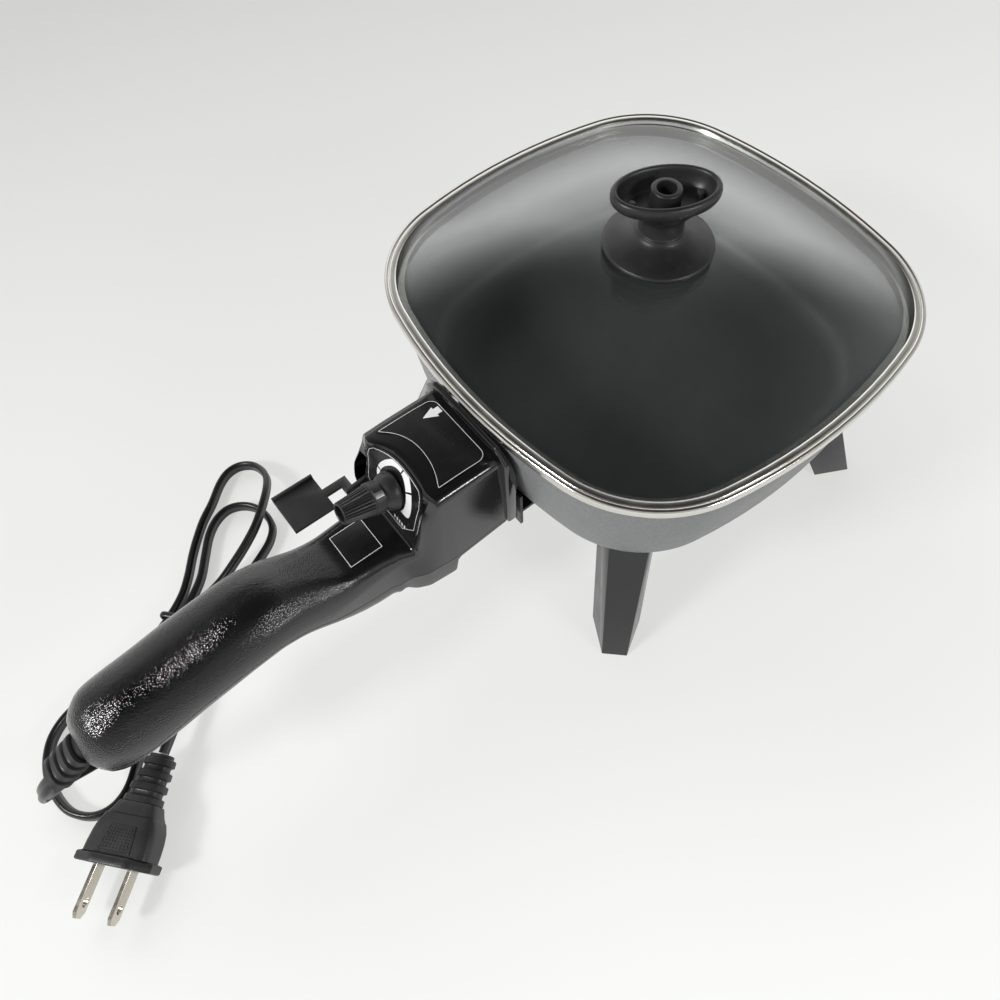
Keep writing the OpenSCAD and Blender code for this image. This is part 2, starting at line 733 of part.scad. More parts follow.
// Bell foot, smooth collar and a ribbed grip that narrows to its end
module temperature_knob() {
    neck = 5;
    collar = 3.8;
    rib = 0.4;
    grip_r = collar_r - 0.5;
    tip_r = dial_r - 2.9;
    color("#101010") hung() dial_place(0.9) difference() {
        union() {
            rotate_extrude() polygon([
                [0, 0], [dial_r, 0], [dial_r + 0.2, 0.6], [dial_r - 0.2, 2], [dial_r - 1.1, 3.6],
                [collar_r - 0.7, neck - 0.3], [collar_r - 0.7, neck], [collar_r, neck],
                [collar_r, neck + collar], [0, neck + collar]
            ]);
            translate([0, 0, neck + collar - 0.1])
                linear_extrude(dial_len - neck - collar + 0.1, scale = tip_r / grip_r)
                polygon([for (i = [0:2 * dial_ribs - 1])
                    let (r = grip_r - (i % 2 == 0 ? 0 : rib), a = 180 * i / dial_ribs)
                    [r * cos(a), r * sin(a)]]);
        }
        translate([0, 0, dial_len - 2]) cylinder(r = tip_r - 1.1, h = 3);
        translate([0, 0, -1]) cylinder(r = shaft_r + run_gap, h = dial_len - 5);
        rotate(pointer_turn) translate([collar_r - 0.9, -1.1, neck - 0.5]) cube([2, 2.2, collar + 1]);
    }
}

module knob_pointer() {
    color("white") hung() dial_place(0.9) rotate(pointer_turn)
        translate([collar_r - 0.85, -1, 5]) cube([0.7, 2, 3.8]);
}

module dial_shaft() {
    color("silver") hung() dial_place(-14) union() {
        cylinder(r = shaft_r, h = 14 + 0.9 + dial_len - 6.3);
        cylinder(r = shaft_r + 1.2, h = 2);
    }
}

// ---- inside the head ---------------------------------------------------

block_front = 91;
block_rear = 108;
block_half = 14.8;
block_low = head_seam + 0.6;
block_top = 70.5;
post_rear = 113.4;
socket_r = 3;

module thermostat_frame() {
    color("burlywood") hung() difference() {
        union() {
            translate([-block_rear, -block_half, block_low])
                cube([block_rear - block_front, 2 * block_half, block_top - block_low]);
            translate([-post_rear, -7, block_low]) cube([post_rear - block_rear + 0.5, 14, 3]);
            translate([-post_rear, -5.5, block_low]) cube([3, 11, 32]);
            translate([-pivot_x - 4, block_half - 2.4, block_top - 1])
                cube([8, 2.4, pivot_z - block_top + 4.5]);
        }
        for (s = [-1, 1])
            translate([-block_rear - 1, s * terminal_y, terminal_z]) rotate([0, 90, 0])
                cylinder(r = socket_r + run_gap, h = 30);
        translate([-block_rear - 1, 0, terminal_z]) rotate([0, 90, 0])
            cylinder(r = probe_r + run_gap, h = 30);
        dial_place(-20) cylinder(r = shaft_r + run_gap, h = 22);
        translate([-pivot_x, 0, pivot_z]) rotate([-90, 0, 0]) cylinder(r = pivot_r + run_gap, h = 30);
    }
}

pivot_r = 1.5;

module lever_pin() {
    color("silver") hung() translate([-pivot_x, block_half - 2.4, pivot_z]) rotate([-90, 0, 0]) union() {
        cylinder(r = pivot_r, h = slot_y + lever_t / 2 + 0.1 - block_half + 2.4);
        translate([0, 0, slot_y + lever_t / 2 + 0.1 - block_half + 2.4]) cylinder(r = 2.4, h = 0.35);
    }
}

module socket(s) {
    color("silver") hung() translate([-block_rear, s * terminal_y, terminal_z]) rotate([0, 90, 0])
        difference() {
        cylinder(r = socket_r, h = block_rear - block_front);
        translate([0, 0, 2]) cylinder(r = pin_r + run_gap, h = 30);
    }
}

probe_tip = 77;

module sensor_probe() {
    color("silver") hung() translate([-block_rear + 2, 0, terminal_z]) rotate([0, 90, 0])
        cylinder(r = probe_r, h = block_rear - 2 - probe_tip - 0.5);
}

module fixed_contact() {
    color("goldenrod") hung() union() {
        translate([-106, -8, block_top]) cube([10, 4, 0.8]);
        translate([-104, -6, block_top + 0.8]) cylinder(r = 1.4, h = 0.8);
    }
}

module moving_contact() {
    color("goldenrod") hung() union() {
        translate([-98, 1, block_top]) cube([4, 5, 2.8]);
        translate([-106, -8, block_top + 2.8]) cube([12, 14, 0.6]);
        translate([-104, -6, block_top + 2]) cylinder(r = 1.4, h = 1);
    }
}

// One flattened ring of a tube at p, its high side kept upright
function ring_at(p, dir, half_w, half_h, n) =
    let (flat = norm([dir[0], dir[1]]) < 0.01 ? [1, 0, 0] : unit([dir[1], -dir[0], 0]),
         up = cross(flat, dir))
    [for (i = [0:n - 1]) let (a = 360 * (i + 0.5) / n)
        p + half_w * cos(a) * flat / cos(180 / n) + half_h * sin(a) * up / cos(180 / n)];

function tangent(pts, i) =
    unit(pts[min(i + 1, len(pts) - 1)] - pts[max(i - 1, 0)]);

module tube(pts, half_w, half_h, n) {
    loft([for (i = [0:len(pts) - 1]) ring_at(pts[i], tangent(pts, i), half_w, half_h, n)]);
}

lead_route = [
    [-226, 6.5, 61], [-212, 7.5, 62.5], [-196, 7.5, 66], [-184, 7.5, 67.5], [-174, 7.5, 67.5],
        [-166, 7.5, 63.5],
    [-156, 7.5, 57], [-147, 7.5, 54], [-138, 7.5, 53.5], [-128, 8, 56], [-119, 9, 61],
        [-113, terminal_y, terminal_z],
    [-block_rear - 0.2, terminal_y, terminal_z]
];

module lead(s) {
    color(s > 0 ? "#222222" : "#eeeeee") hung()
        tube([for (p = lead_route) [p[0], s * p[1], p[2]]], 1.1, 1.1, 6);
}

module cord_clamp() {
    color("#303030") hung() translate([-238, 0, 0]) difference() {
        translate([0, -8.5, 55]) cube([5, 17, 7]);
        translate([-1, -cord_w / 2, relief_from[2] - cord_t / 2]) cube([8, cord_w, cord_t]);
    }
}

// The cord's own end inside the grip, flat between relief and clamp
module cord_tail() {
    from = relief_from[0] + 1.3;
    to = lead_route[0][0] - 0.2;
    color("#181818") hung() translate([from, -cord_w / 2 + 0.1, relief_from[2] - cord_t / 2 + 0.1])
        cube([to - from, cord_w - 0.2, cord_t - 0.2]);
}

// ---- lever -------------------------------------------------------------

module lock_lever() {
    arm_y = slot_y - lever_t / 2;
    tab_in = 15.3;
    color("#2b2b2b") hung() union() {
        // finger tab with its outer bar and the step inward
        translate([0, 0, tab_z - lever_t / 2]) linear_extrude(lever_t) polygon([
            [-153.5, tab_in], [-153.5, tab_in + tab_w], [-137, tab_in + tab_w], [-137, 24.6],
            [-127.4, 24.6], [-127.4, arm_y], [-131, arm_y], [-131, 21.2], [-137, 21.2], [-137, tab_in]
        ]);
        // raised lip along the tab's outer edge
        translate([-153.5, tab_in + tab_w - 1.2, tab_z]) cube([16.5, 1.2, 2.4]);
        // upright arm with the nose that drops into the bracket's notch
        difference() {
            translate([0, arm_y + lever_t, 0]) rotate([90, 0, 0]) linear_extrude(lever_t) polygon([
                [-131, tab_z - 0.7], [-131, tab_z + 2.6], [-124, tab_z + 3.4], [-104, 78.4], [-95, 79],
                [-93, 76], [-93.6, 66.6], [-90, 64.2], [-80, 64.2],
                [-80, 61.6], [-93, 61.6], [-98, 64.4], [-101.5, 71.4], [-124, tab_z - 0.7]
            ]);
            translate([-pivot_x, 0, pivot_z]) rotate([-90, 0, 0])
                cylinder(r = pivot_r + run_gap, h = 40);
        }
    }
}

// ---- cord, relief and plug ---------------------------------------------

ribs = 4;
rib_sides = 12;

// Ribbed sleeve of oval rings between two points
module ribbed_sleeve(from, dir, side, up, len, a0, b0, a1, b1) {
    pitch = len / ribs;
    loft([
        for (k = [0:ribs - 1], q = [0, 0.6, 0.6001, 0.9999])
            let (t = (k + q) * pitch, s = t / len, d = q == 0 || q == 0.6 ? 0 : 0.9,
                 a = a0 + (a1 - a0) * s - d, b = b0 + (b1 - b0) * s - d)
            [for (i = [0:rib_sides - 1]) let (w = 360 * i / rib_sides)
                from + t * dir + a * cos(w) * side + b * sin(w) * up]
    ]);
}

module strain_relief() {
    inner = 6;
    color("#111111") hung() union() {
        loft([for (t = [0, inner])
            [for (i = [0:11]) let (q = 360 * i / 12)
                relief_from + t * relief_dir + (relief_half - 1) * cos(q) * relief_side
                    + (relief_thick - 1) * sin(q) * relief_up]]);
        ribbed_sleeve(relief_from + (inner - 0.2) * relief_dir, relief_dir, relief_side, relief_up,
                      norm(relief_to - relief_from) - inner - 0.4, relief_half, relief_thick + 0.6,
                      relief_half, relief_thick + 0.2);
    }
}

plug_at = [-265.7, -22.7, 9];
plug_dir = unit([0.763, 0.646, 0]);
plug_side = [-plug_dir[1], plug_dir[0], 0];
plug_len = 21;
plug_relief = 18;
cord_end = plug_at + (plug_len + plug_relief + 0.2) * plug_dir;

// The cord's way, laid by hand: down from the relief, twice round the near
// bight and the far loops of the tied hank, and into the plug
route = [
    relief_to, [-264, 2, 42.5], [-268, 5, 34], [-269, 9, 25], [-265, 13, 18], [-257, 14, 13.5],
    [-248, 14, 11.5], [-239, 17, 11], [-230, 21, 9], [-221, 29, 5.5], [-213, 39, 3.6],
    [-204, 48, 3.2], [-195, 53, 3.2], [-186, 56, 3.4], [-178, 59, 5], [-170, 62, 7.5], [-162, 66, 10],
    [-155, 72, 11], [-149, 79, 10.5], [-145.5, 86, 8.5], [-145, 93, 6], [-147, 99.5, 4.2],
        [-152, 103.5, 3.4],
    [-158, 103.5, 3.2], [-164, 100, 3.2], [-171, 93.5, 3.2], [-178, 88, 3.2], [-184, 82, 3.2],
        [-190, 75, 3.2],
    [-196, 67, 3.2], [-202, 60.5, 3.2], [-210, 55, 3.2], [-221, 50, 3.2], [-233, 47, 3.2],
        [-246, 45, 3.2],
    [-258, 43, 3.2], [-266, 39, 3.2], [-271, 33, 3.2], [-274, 25, 3.2], [-274.5, 16, 3.2],
        [-272.5, 7.5, 3.2],
    [-267, 1, 3.2], [-260, -1, 3.2], [-253, 1.5, 3.2], [-246.5, 8, 3.2], [-239.5, 17, 3.2],
        [-232, 26, 3.2],
    [-224, 35, 3.2], [-216, 44, 3.2], [-207, 51.5, 3.2], [-199, 57, 3.2], [-192, 63, 3.2],
        [-186, 71, 3.2],
    [-180, 79, 3.2], [-174, 84, 3.2], [-167.5, 86, 3.2], [-161.5, 84, 3.2], [-157, 79, 3.2],
        [-155, 72, 3.2],
    [-156, 65, 3.2], [-160.5, 59.5, 3.2], [-167, 55.5, 3.2], [-175, 51.5, 3.2], [-184, 47.5, 3.2],
    [-193, 44.5, 3.2], [-200, 41.5, 3.2], [-206, 36, 3.4], [-210, 28, 4.6], [-217, 19, 7],
        [-226, 11, 9], cord_end
];

// Two steps of a smooth curve between each pair of points
function curve(pts) = [
    for (i = [0:len(pts) - 2], t = [0, 0.5])
        let (a = pts[max(i - 1, 0)], b = pts[i], c = pts[i + 1], d = pts[min(i + 2, len(pts) - 1)])
        b + t * (c - a) / 2 + t * t * (2 * a - 5 * b + 4 * c - d) / 2
            + t * t * t * (3 * b - a - 3 * c + d) / 2,
    pts[len(pts) - 1]
];
cord_path = curve(route);

function flat_gap(p, a, b) =
    let (v = [b[0] - a[0], b[1] - a[1]], w = [p[0] - a[0], p[1] - a[1]],
         t = max(0, min(1, (w * v) / (v * v))), h = abs(p[2] - a[2] - t * (b[2] - a[2])))
    max(norm(w - t * v) - cord_t, h - cord_w);

cord_gap = min([for (i = [0:len(cord_path) - 1], j = [i + 6:len(cord_path) - 2])
    flat_gap(cord_path[i], cord_path[j], cord_path[j + 1])]);
cord_length = [for (i = 0, s = 0; i < len(cord_path); i = i + 1,
    s = s + (i < len(cord_path) ? norm(cord_path[i] - cord_path[i - 1]) : 0)) s];
echo(cord_least_gap = cord_gap, cord_length = cord_length[len(cord_length) - 1]);

module power_cord() {
    color("#101010") hung() tube(cord_path, cord_t / 2, cord_w / 2, 8);
}

// Wire tie bent round the four runs of the hank
module cord_tie() {
    color("#0a0a0a") hung() translate([-206, 49.6, 0]) rotate(41) difference() {
        translate([-1.4, -14, 0]) cube([2.8, 24.4, 8]);
        translate([-3, -12.8, -1]) cube([6, 22, 7.8]);
    }
}

function plug_ring(t, w, h) = [for (i = [0:15])
    let (a = 360 * i / 16, c = cos(a), s = sin(a))
    plug_at + t * plug_dir + w * sign(c) * pow(abs(c),
        0.55) * plug_side + h * sign(s) * pow(abs(s), 0.55) * [0, 0, 1]];

module plug_body() {
    color("#141414") hung() union() {
        loft([
            plug_ring(0, 14.2, 8.6), plug_ring(3.2, 14.2, 8.6), plug_ring(3.7, 12.2, 7.8),
                plug_ring(13, 11.4, 7.6),
            plug_ring(19, 8, 6.6), plug_ring(plug_len, 7.3, 6.2)
        ]);
        ribbed_sleeve(plug_at + (plug_len - 0.2) * plug_dir, plug_dir, plug_side, [0, 0, 1],
            plug_relief + 0.2,
                      6.8, 5.6, 5.4, 4.2);
    }
}

module plug_blade(s) {
    color("silver") hung() translate(plug_at) rotate(180 + atan2(plug_dir[1], plug_dir[0]))
        difference() {
        translate([0, s * blade_half_gap - 0.75, -3.15]) cube([blade_len, 1.5, 6.3]);
        translate([blade_len - 5, s * blade_half_gap - 2, 0]) rotate([-90, 0, 0])
            cylinder(r = 1.6, h = 4);
    }
}

// ---- pieces ------------------------------------------------------------

pan();
leg(225);  // leg_front
leg(315);  // leg_right
leg(45);  // leg_rear
leg(135);  // leg_left
leg_screw(225);  // leg_screw_front
leg_screw(315);  // leg_screw_right
leg_screw(45);  // leg_screw_rear
leg_screw(135);  // leg_screw_left
heating_element();
terminal_pin(1);  // terminal_pin_a
terminal_pin(-1);  // terminal_pin_b
insulator(1);  // insulator_a
insulator(-1);  // insulator_b
latch_bracket();
bracket_screw(1);  // bracket_screw_a
bracket_screw(-1);  // bracket_screw_b
lid_glass();
lid_band();
knob_gasket();
lid_knob();
knob_washer();
knob_screw();
knob_nut();
handle_top_shell();
handle_bottom_shell();
front_collar();
head_label();
dial_plate();
neck_label();
shell_screw(0);  // shell_screw_a
shell_screw(1);  // shell_screw_b
shell_screw(2);  // shell_screw_c
thermostat_frame();
fixed_contact();
moving_contact();
sensor_probe();
socket(1);  // socket_a
socket(-1);  // socket_b
lead(1);  // lead_a
lead(-1);  // lead_b
cord_clamp();
cord_tail();
lever_pin();
lock_lever();
temperature_knob();
knob_pointer();
dial_shaft();
strain_relief();
power_cord();
cord_tie();
plug_body();
plug_blade(1);  // plug_blade_a
plug_blade(-1);  // plug_blade_b
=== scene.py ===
from functools import partialmethod
from math import atan, atan2, copysign, cos, exp, pi, radians, sin, sqrt, tan

import bmesh
import bpy
from mathutils import Matrix, Vector


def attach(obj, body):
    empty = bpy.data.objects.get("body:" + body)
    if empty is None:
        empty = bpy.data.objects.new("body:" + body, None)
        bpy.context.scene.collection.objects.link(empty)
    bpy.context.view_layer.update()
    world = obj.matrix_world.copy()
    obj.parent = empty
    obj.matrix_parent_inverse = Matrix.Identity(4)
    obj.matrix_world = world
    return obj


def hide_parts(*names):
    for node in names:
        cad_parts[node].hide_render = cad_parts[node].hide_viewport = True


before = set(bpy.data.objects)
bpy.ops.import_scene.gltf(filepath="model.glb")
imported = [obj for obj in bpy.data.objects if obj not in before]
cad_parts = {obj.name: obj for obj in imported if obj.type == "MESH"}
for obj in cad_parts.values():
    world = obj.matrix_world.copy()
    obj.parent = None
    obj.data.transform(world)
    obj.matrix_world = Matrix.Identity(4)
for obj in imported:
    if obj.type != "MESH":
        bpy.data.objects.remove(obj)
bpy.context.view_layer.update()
bpy.ops.object.select_all(action="DESELECT")

PAN_X = 78.25            # the middle of the pan in the row frame, in mm
UP = Vector((0, 0, 1))
SCENE = bpy.context.scene


def at(x, y, z):
    """A point measured in mm from the middle of the pan, in the row frame."""
    return Vector((x + PAN_X, y, z)) / 1000


def unit(value):
    """A number held between 0 and 1."""
    return max(0.0, min(1.0, value))


def ease(value):
    value = unit(value)
    return value * value * (3 - 2 * value)


# ---- camera and lamps ----

YAW, PITCH, ROLL = 0.70441, 1.0113, 0.01466          # in radians
CAMERA_PLACE = (-169.515, -139.476, 323.843)
LENS, SENSOR, SHIFT = 28.696, 36, (-0.0447, -0.0361)


def make_camera():
    flat = cos(PITCH)
    forward = Vector((sin(YAW) * flat, cos(YAW) * flat, -sin(PITCH)))
    side = forward.cross(UP).normalized()
    top = side.cross(forward).normalized()
    right = cos(ROLL) * side + sin(ROLL) * top
    up = -sin(ROLL) * side + cos(ROLL) * top
    lens = bpy.data.cameras.new("camera")
    lens.lens, lens.sensor_width = LENS, SENSOR
    lens.shift_x, lens.shift_y = SHIFT
    lens.clip_start = 0.01
    camera = bpy.data.objects.new("camera", lens)
    turn = Matrix((right, up, -forward)).transposed().to_4x4()
    camera.matrix_world = Matrix.Translation(at(*CAMERA_PLACE)) @ turn
    SCENE.collection.objects.link(camera)
    SCENE.camera = camera


# Lamps: place and target in mm, size in m, power in W, seen in reflections
SOFT_BOXES = {
    "window": ((-250, 1150, 950), (0, 0, 60), (1.1, 0.8), 15, False),
    "strip": ((-900, 150, 700), (-120, 0, 60), (0.5, 0.25), 2, False),
    "key": ((160, -850, 545), (-100, 0, 90), (0.34, 0.12), 2.6, True),
    "bulb": ((-950, 110, 750), (-230, 0, 70), (0.22, 0.16), 7, True),
}


def make_soft_boxes():
    for name, (place, target, size, power, mirrored) in SOFT_BOXES.items():
        lamp = bpy.data.lights.new(name, "AREA")
        lamp.shape = "RECTANGLE"
        lamp.size, lamp.size_y = size
        lamp.energy = power
        box = bpy.data.objects.new(name, lamp)
        box.visible_glossy = mirrored
        box.location = at(*place)
        box.rotation_euler = (at(*target) - at(*place)).to_track_quat("-Z", "Y").to_euler()
        SCENE.collection.objects.link(box)


# ---- shaders ----

MIX_A, MIX_B, MIX_OUT = 6, 7, 2      # the colour sockets of a Mix node


class Value:
    """One output of a shader node; an operator on it adds a Math node."""

    def __init__(self, finish, socket):
        self.finish = finish
        self.socket = socket

    def math(self, operation, *others):
        return self.finish.node("ShaderNodeMath", self, *others, operation=operation)

    __add__ = partialmethod(math, "ADD")
    __sub__ = partialmethod(math, "SUBTRACT")
    __mul__ = partialmethod(math, "MULTIPLY")
    __pow__ = partialmethod(math, "POWER")
    __gt__ = partialmethod(math, "GREATER_THAN")


class Finish:
    """A node material on object coordinates."""

    def __init__(self, name, **constants):
        self.material = bpy.data.materials.new(name)
        self.material.use_nodes = True
        self.tree = self.material.node_tree
        self.shader = self.tree.nodes["Principled BSDF"]
        self.surface = self.tree.nodes["Material Output"].inputs["Surface"]
        for socket, value in constants.items():
            self.shader.inputs[socket.replace("_", " ")].default_value = value
        self.place = self.node("ShaderNodeTexCoord", out="Object")

    def node(self, kind, *values, out=0, **named):
        """A new node: values fill its sockets in order, capitalised names by name."""
        made = self.tree.nodes.new(kind)
        for key in [key for key in named if key.islower()]:
            setattr(made, key, named.pop(key))
        for socket, value in zip(made.inputs, values):
            self.join(socket, value)
        for key, value in named.items():
            self.join(made.inputs[key], value)
        return Value(self, made.outputs[out])

    def join(self, socket, value):
        if isinstance(value, Value):
            self.tree.links.new(value.socket, socket)
        else:
            socket.default_value = value

    def axis(self, name):
        return self.node("ShaderNodeSeparateXYZ", self.place, out=name)

    def noise(self, scale, detail=3.0, rough=0.55, place=None):
        return self.node("ShaderNodeTexNoise", out="Fac", Vector=place or self.place,
                         Scale=scale, Detail=detail, Roughness=rough)

    def cells(self, scale):
        return self.node("ShaderNodeTexVoronoi", out="Distance", Vector=self.place, Scale=scale)

    def stretch(self, x, y, z):
        return self.node("ShaderNodeMapping", out="Vector", Vector=self.place, Scale=(x, y, z))

    def clamp_between(self, value, low, high, to_low=0.0, to_high=1.0):
        return self.node("ShaderNodeMapRange", value, low, high, to_low, to_high)

    def blend(self, amount, first, second):
        made = self.tree.nodes.new("ShaderNodeMix")
        made.data_type = "RGBA"
        self.join(made.inputs[0], amount)
        for socket, colour in ((MIX_A, first), (MIX_B, second)):
            self.join(made.inputs[socket],
                      colour if isinstance(colour, Value) else (*colour, 1))
        return Value(self, made.outputs[MIX_OUT])

    def bump(self, height, strength, distance, normal=None):
        named = dict(Strength=strength, Distance=distance, Height=height)
        if normal:
            named["Normal"] = normal
        return self.node("ShaderNodeBump", out="Normal", **named)

    def colour(self, value):
        self.join(self.shader.inputs["Base Color"], value)

    def roughness(self, value):
        self.join(self.shader.inputs["Roughness"], value)

    def normal(self, value):
        self.join(self.shader.inputs["Normal"], value)


def handled(finish, low, high, scale=60):
    """Roughness that changes a little from handling."""
    finish.roughness(finish.clamp_between(finish.noise(scale, 5), 0.3, 0.7, low, high))


def even(name, dark, light, mottle, gloss, grain=None, **constants):
    """An even finish: mottle is the scale and detail of its tone, gloss the low, high and
    scale of its roughness, grain the scale, strength and depth of its bump."""
    f = Finish(name, **constants)
    f.colour(f.blend(f.noise(*mottle), dark, light))
    handled(f, *gloss)
    if grain:
        scale, strength, depth = grain
        f.normal(f.bump(f.noise(scale, 3), strength, depth))
    return f.material


def rubber(name, base, low=0.5, high=0.66):
    """Matt rubber or soft vinyl."""
    return even(name, (base * 0.8,) * 3, (base * 1.25,) * 3, (500, 4), (low, high, 200),
                (2200, 0.2, 0.00015))


def gloss_black():
    """Glossy black moulded plastic of the control head, with specks of dust."""
    f = Finish("gloss black phenolic", Specular_IOR_Level=0.8)
    dust = f.noise(3200, 2) > 0.735
    f.colour(f.blend(dust * 0.5, (0.0035, 0.0035, 0.0038), (0.05, 0.05, 0.05)))
    handled(f, 0.05, 0.1)
    f.normal(f.bump(f.noise(420, 4), 0.03, 0.0005))
    return f.material


def pebbled_black():
    """The same plastic with a fine pebble on the grip, which fades at the neck."""
    f = Finish("pebbled black phenolic", Specular_IOR_Level=0.8)
    f.colour(f.blend(f.noise(90, 3), (0.003, 0.003, 0.0032), (0.0055, 0.0055, 0.006)))
    handled(f, 0.07, 0.13)
    grip = f.clamp_between(f.axis("X"), -0.078, -0.06, 1.0, 0.12)
    pebble = f.bump(f.cells(1900) * grip, 0.5, 0.00023)
    f.normal(f.bump(f.noise(3400, 2) * grip, 0.3, 0.0001, pebble))
    return f.material


def satin_black(name, base, low, high):
    """Satin black moulded plastic with a faint grain."""
    f = Finish(name)
    tone = f.clamp_between(f.noise(150, 5), 0.3, 0.7)
    f.colour(f.blend(tone, (base * 0.75,) * 3, (base * 1.3, base * 1.3, base * 1.32)))
    handled(f, low, high, 120)
    f.normal(f.bump(f.noise(1900, 3), 0.25, 0.0002))
    return f.material


def pan_paint():
    """Mid-grey satin paint outside the pan, black non-stick coat inside."""
    f = Finish("pan paint and non-stick coat")
    speck = f.clamp_between(f.noise(900, 2), 0.35, 0.65)
    grey = f.blend(speck, (0.15, 0.152, 0.155), (0.185, 0.187, 0.19))
    fleck = f.noise(2600, 1) > 0.71
    black = f.blend(fleck, (0.05, 0.0495, 0.049), (0.1, 0.1, 0.1))
    inner = f.node("ShaderNodeAttribute", attribute_name="coated", out="Fac")
    f.colour(f.blend(inner, grey, black))
    handled(f, 0.34, 0.46, 40)
    f.normal(f.bump(f.noise(1700, 3), 0.2, 0.00025))
    return f.material


def brushed_steel(name, tint, low, high, strength=0.2, scale=(900, 900, 60)):
    """Drawn or brushed metal with fine lines."""
    f = Finish(name, Metallic=1.0)
    lines = f.noise(1.0, 3, 0.6, f.stretch(*scale))
    f.colour(f.blend(lines, tuple(c * 0.82 for c in tint), tint))
    f.roughness(f.clamp_between(lines, 0.3, 0.7, low, high))
    f.normal(f.bump(lines, strength, 0.0001))
    return f.material


def dull_metal(name, dark, light, low, high, metal):
    """Cast, rolled or oxidised metal with blotches."""
    f = Finish(name, Metallic=metal)
    f.colour(f.blend(f.clamp_between(f.noise(130, 6, 0.65), 0.35, 0.68), dark, light))
    handled(f, low, high, 300)
    f.normal(f.bump(f.noise(1500, 3), 0.25, 0.0002))
    return f.material


def tinted_glass():
    """Clear tempered glass with a faint grey tint and light smears."""
    f = Finish("tempered glass")
    smear = f.clamp_between(f.noise(26, 6, 0.62), 0.42, 0.72)
    clear = f.node("ShaderNodeBsdfTransparent",
                   Color=f.blend(smear, (0.9, 0.92, 0.92), (0.84, 0.86, 0.86)))
    gloss = f.node("ShaderNodeBsdfGlossy", Color=(1, 1, 1, 1),
                   Roughness=f.clamp_between(smear, 0.0, 1.0, 0.015, 0.05))
    facing = f.node("ShaderNodeLayerWeight", out="Facing", Blend=0.5)
    mirror = facing ** 3.2 * 0.94 + 0.05
    f.join(f.surface, f.node("ShaderNodeMixShader", mirror, clear, gloss))
    f.tree.nodes.remove(f.shader)
    return f.material


GLOSS = gloss_black()
PEBBLE = pebbled_black()
KNOB_BLACK = satin_black("satin black knob", 0.014, 0.3, 0.44)
PLUG_BLACK = satin_black("satin black plug", 0.016, 0.36, 0.5)
PAN = pan_paint()
ENAMEL = even("black leg enamel", (0.006, 0.006, 0.0065), (0.012, 0.012, 0.013), (60, 4),
              (0.14, 0.28, 80), (260, 0.12, 0.0008), Specular_IOR_Level=0.55)
BAND = brushed_steel("bright rim steel", (0.78, 0.76, 0.71), 0.1, 0.24, 0.08, (160, 160, 1400))
SCREW = dull_metal("zinc plated screw", (0.42, 0.42, 0.42), (0.6, 0.6, 0.61), 0.25, 0.42, 1.0)
BLADE = brushed_steel("nickel blade", (0.68, 0.64, 0.55), 0.22, 0.32, 0.05, (300, 300, 1200))
PIN = dull_metal("pin steel", (0.5, 0.49, 0.47), (0.68, 0.67, 0.64), 0.22, 0.4, 1.0)
SHEATH = dull_metal("heater sheath", (0.17, 0.16, 0.15), (0.3, 0.28, 0.26), 0.4, 0.62, 0.85)
BLACK_STEEL = dull_metal("black steel sheet", (0.012, 0.012, 0.013), (0.028, 0.028, 0.03),
                         0.3, 0.48, 0.3)
BRASS = dull_metal("contact brass", (0.5, 0.34, 0.12), (0.68, 0.48, 0.2), 0.25, 0.42, 1.0)
POINTER = brushed_steel("pointer silver", (0.72, 0.72, 0.72), 0.18, 0.32)
LEVER = even("lever satin grey", (0.018, 0.018, 0.019), (0.03, 0.03, 0.031), (200, 4),
             (0.26, 0.4, 90), (1500, 0.2, 0.0002))
GLASS = tinted_glass()
GASKET = rubber("gasket rubber", 0.02)
CORD = even("cord vinyl", (0.006, 0.006, 0.0063), (0.011, 0.011, 0.0115), (140, 4),
            (0.26, 0.38, 150), (900, 0.15, 0.0003), Specular_IOR_Level=0.5)
LEAD_WHITE = rubber("lead white vinyl", 0.6, 0.35, 0.5)
CERAMIC = even("ceramic", (0.62, 0.58, 0.5), (0.74, 0.7, 0.62), (300, 4), (0.4, 0.6, 200),
               (900, 0.2, 0.0002))
PRINT = even("white print", (0.62, 0.62, 0.62), (0.8, 0.8, 0.8), (2500, 3), (0.3, 0.45, 900))
LABEL = even("black label film", (0.0045, 0.0045, 0.005), (0.008, 0.008, 0.009), (700, 3),
             (0.2, 0.3, 250), (1300, 0.06, 0.0003), Specular_IOR_Level=0.5)
FIBRE = even("brown moulded fibre", (0.09, 0.055, 0.03), (0.16, 0.1, 0.06), (700, 5),
             (0.5, 0.65, 300), (1500, 0.3, 0.0003))


# ---- floor and sky ----

FLOOR_SIZE, FLOOR_CUTS, FLOOR_GLOW = 8, 8, 0.7
# Grey of the sky by the upward part of the direction
SKY_STOPS = [(0.0, 0.32), (0.12, 0.55), (0.28, 1.0), (0.45, 0.95), (0.62, 0.5), (0.8, 0.12),
             (1.0, 0.06)]
SKY_TINT = (1.25, 1.25, 1.24)
LOBE_WAY, LOBE_RANGE = (0.6, 0.8, 0.0), (0.45, 0.8, 0.5, 1.2)
SKY_STRENGTH = 1.05
BACKDROP = (0.83, 0.83, 0.82, 1)


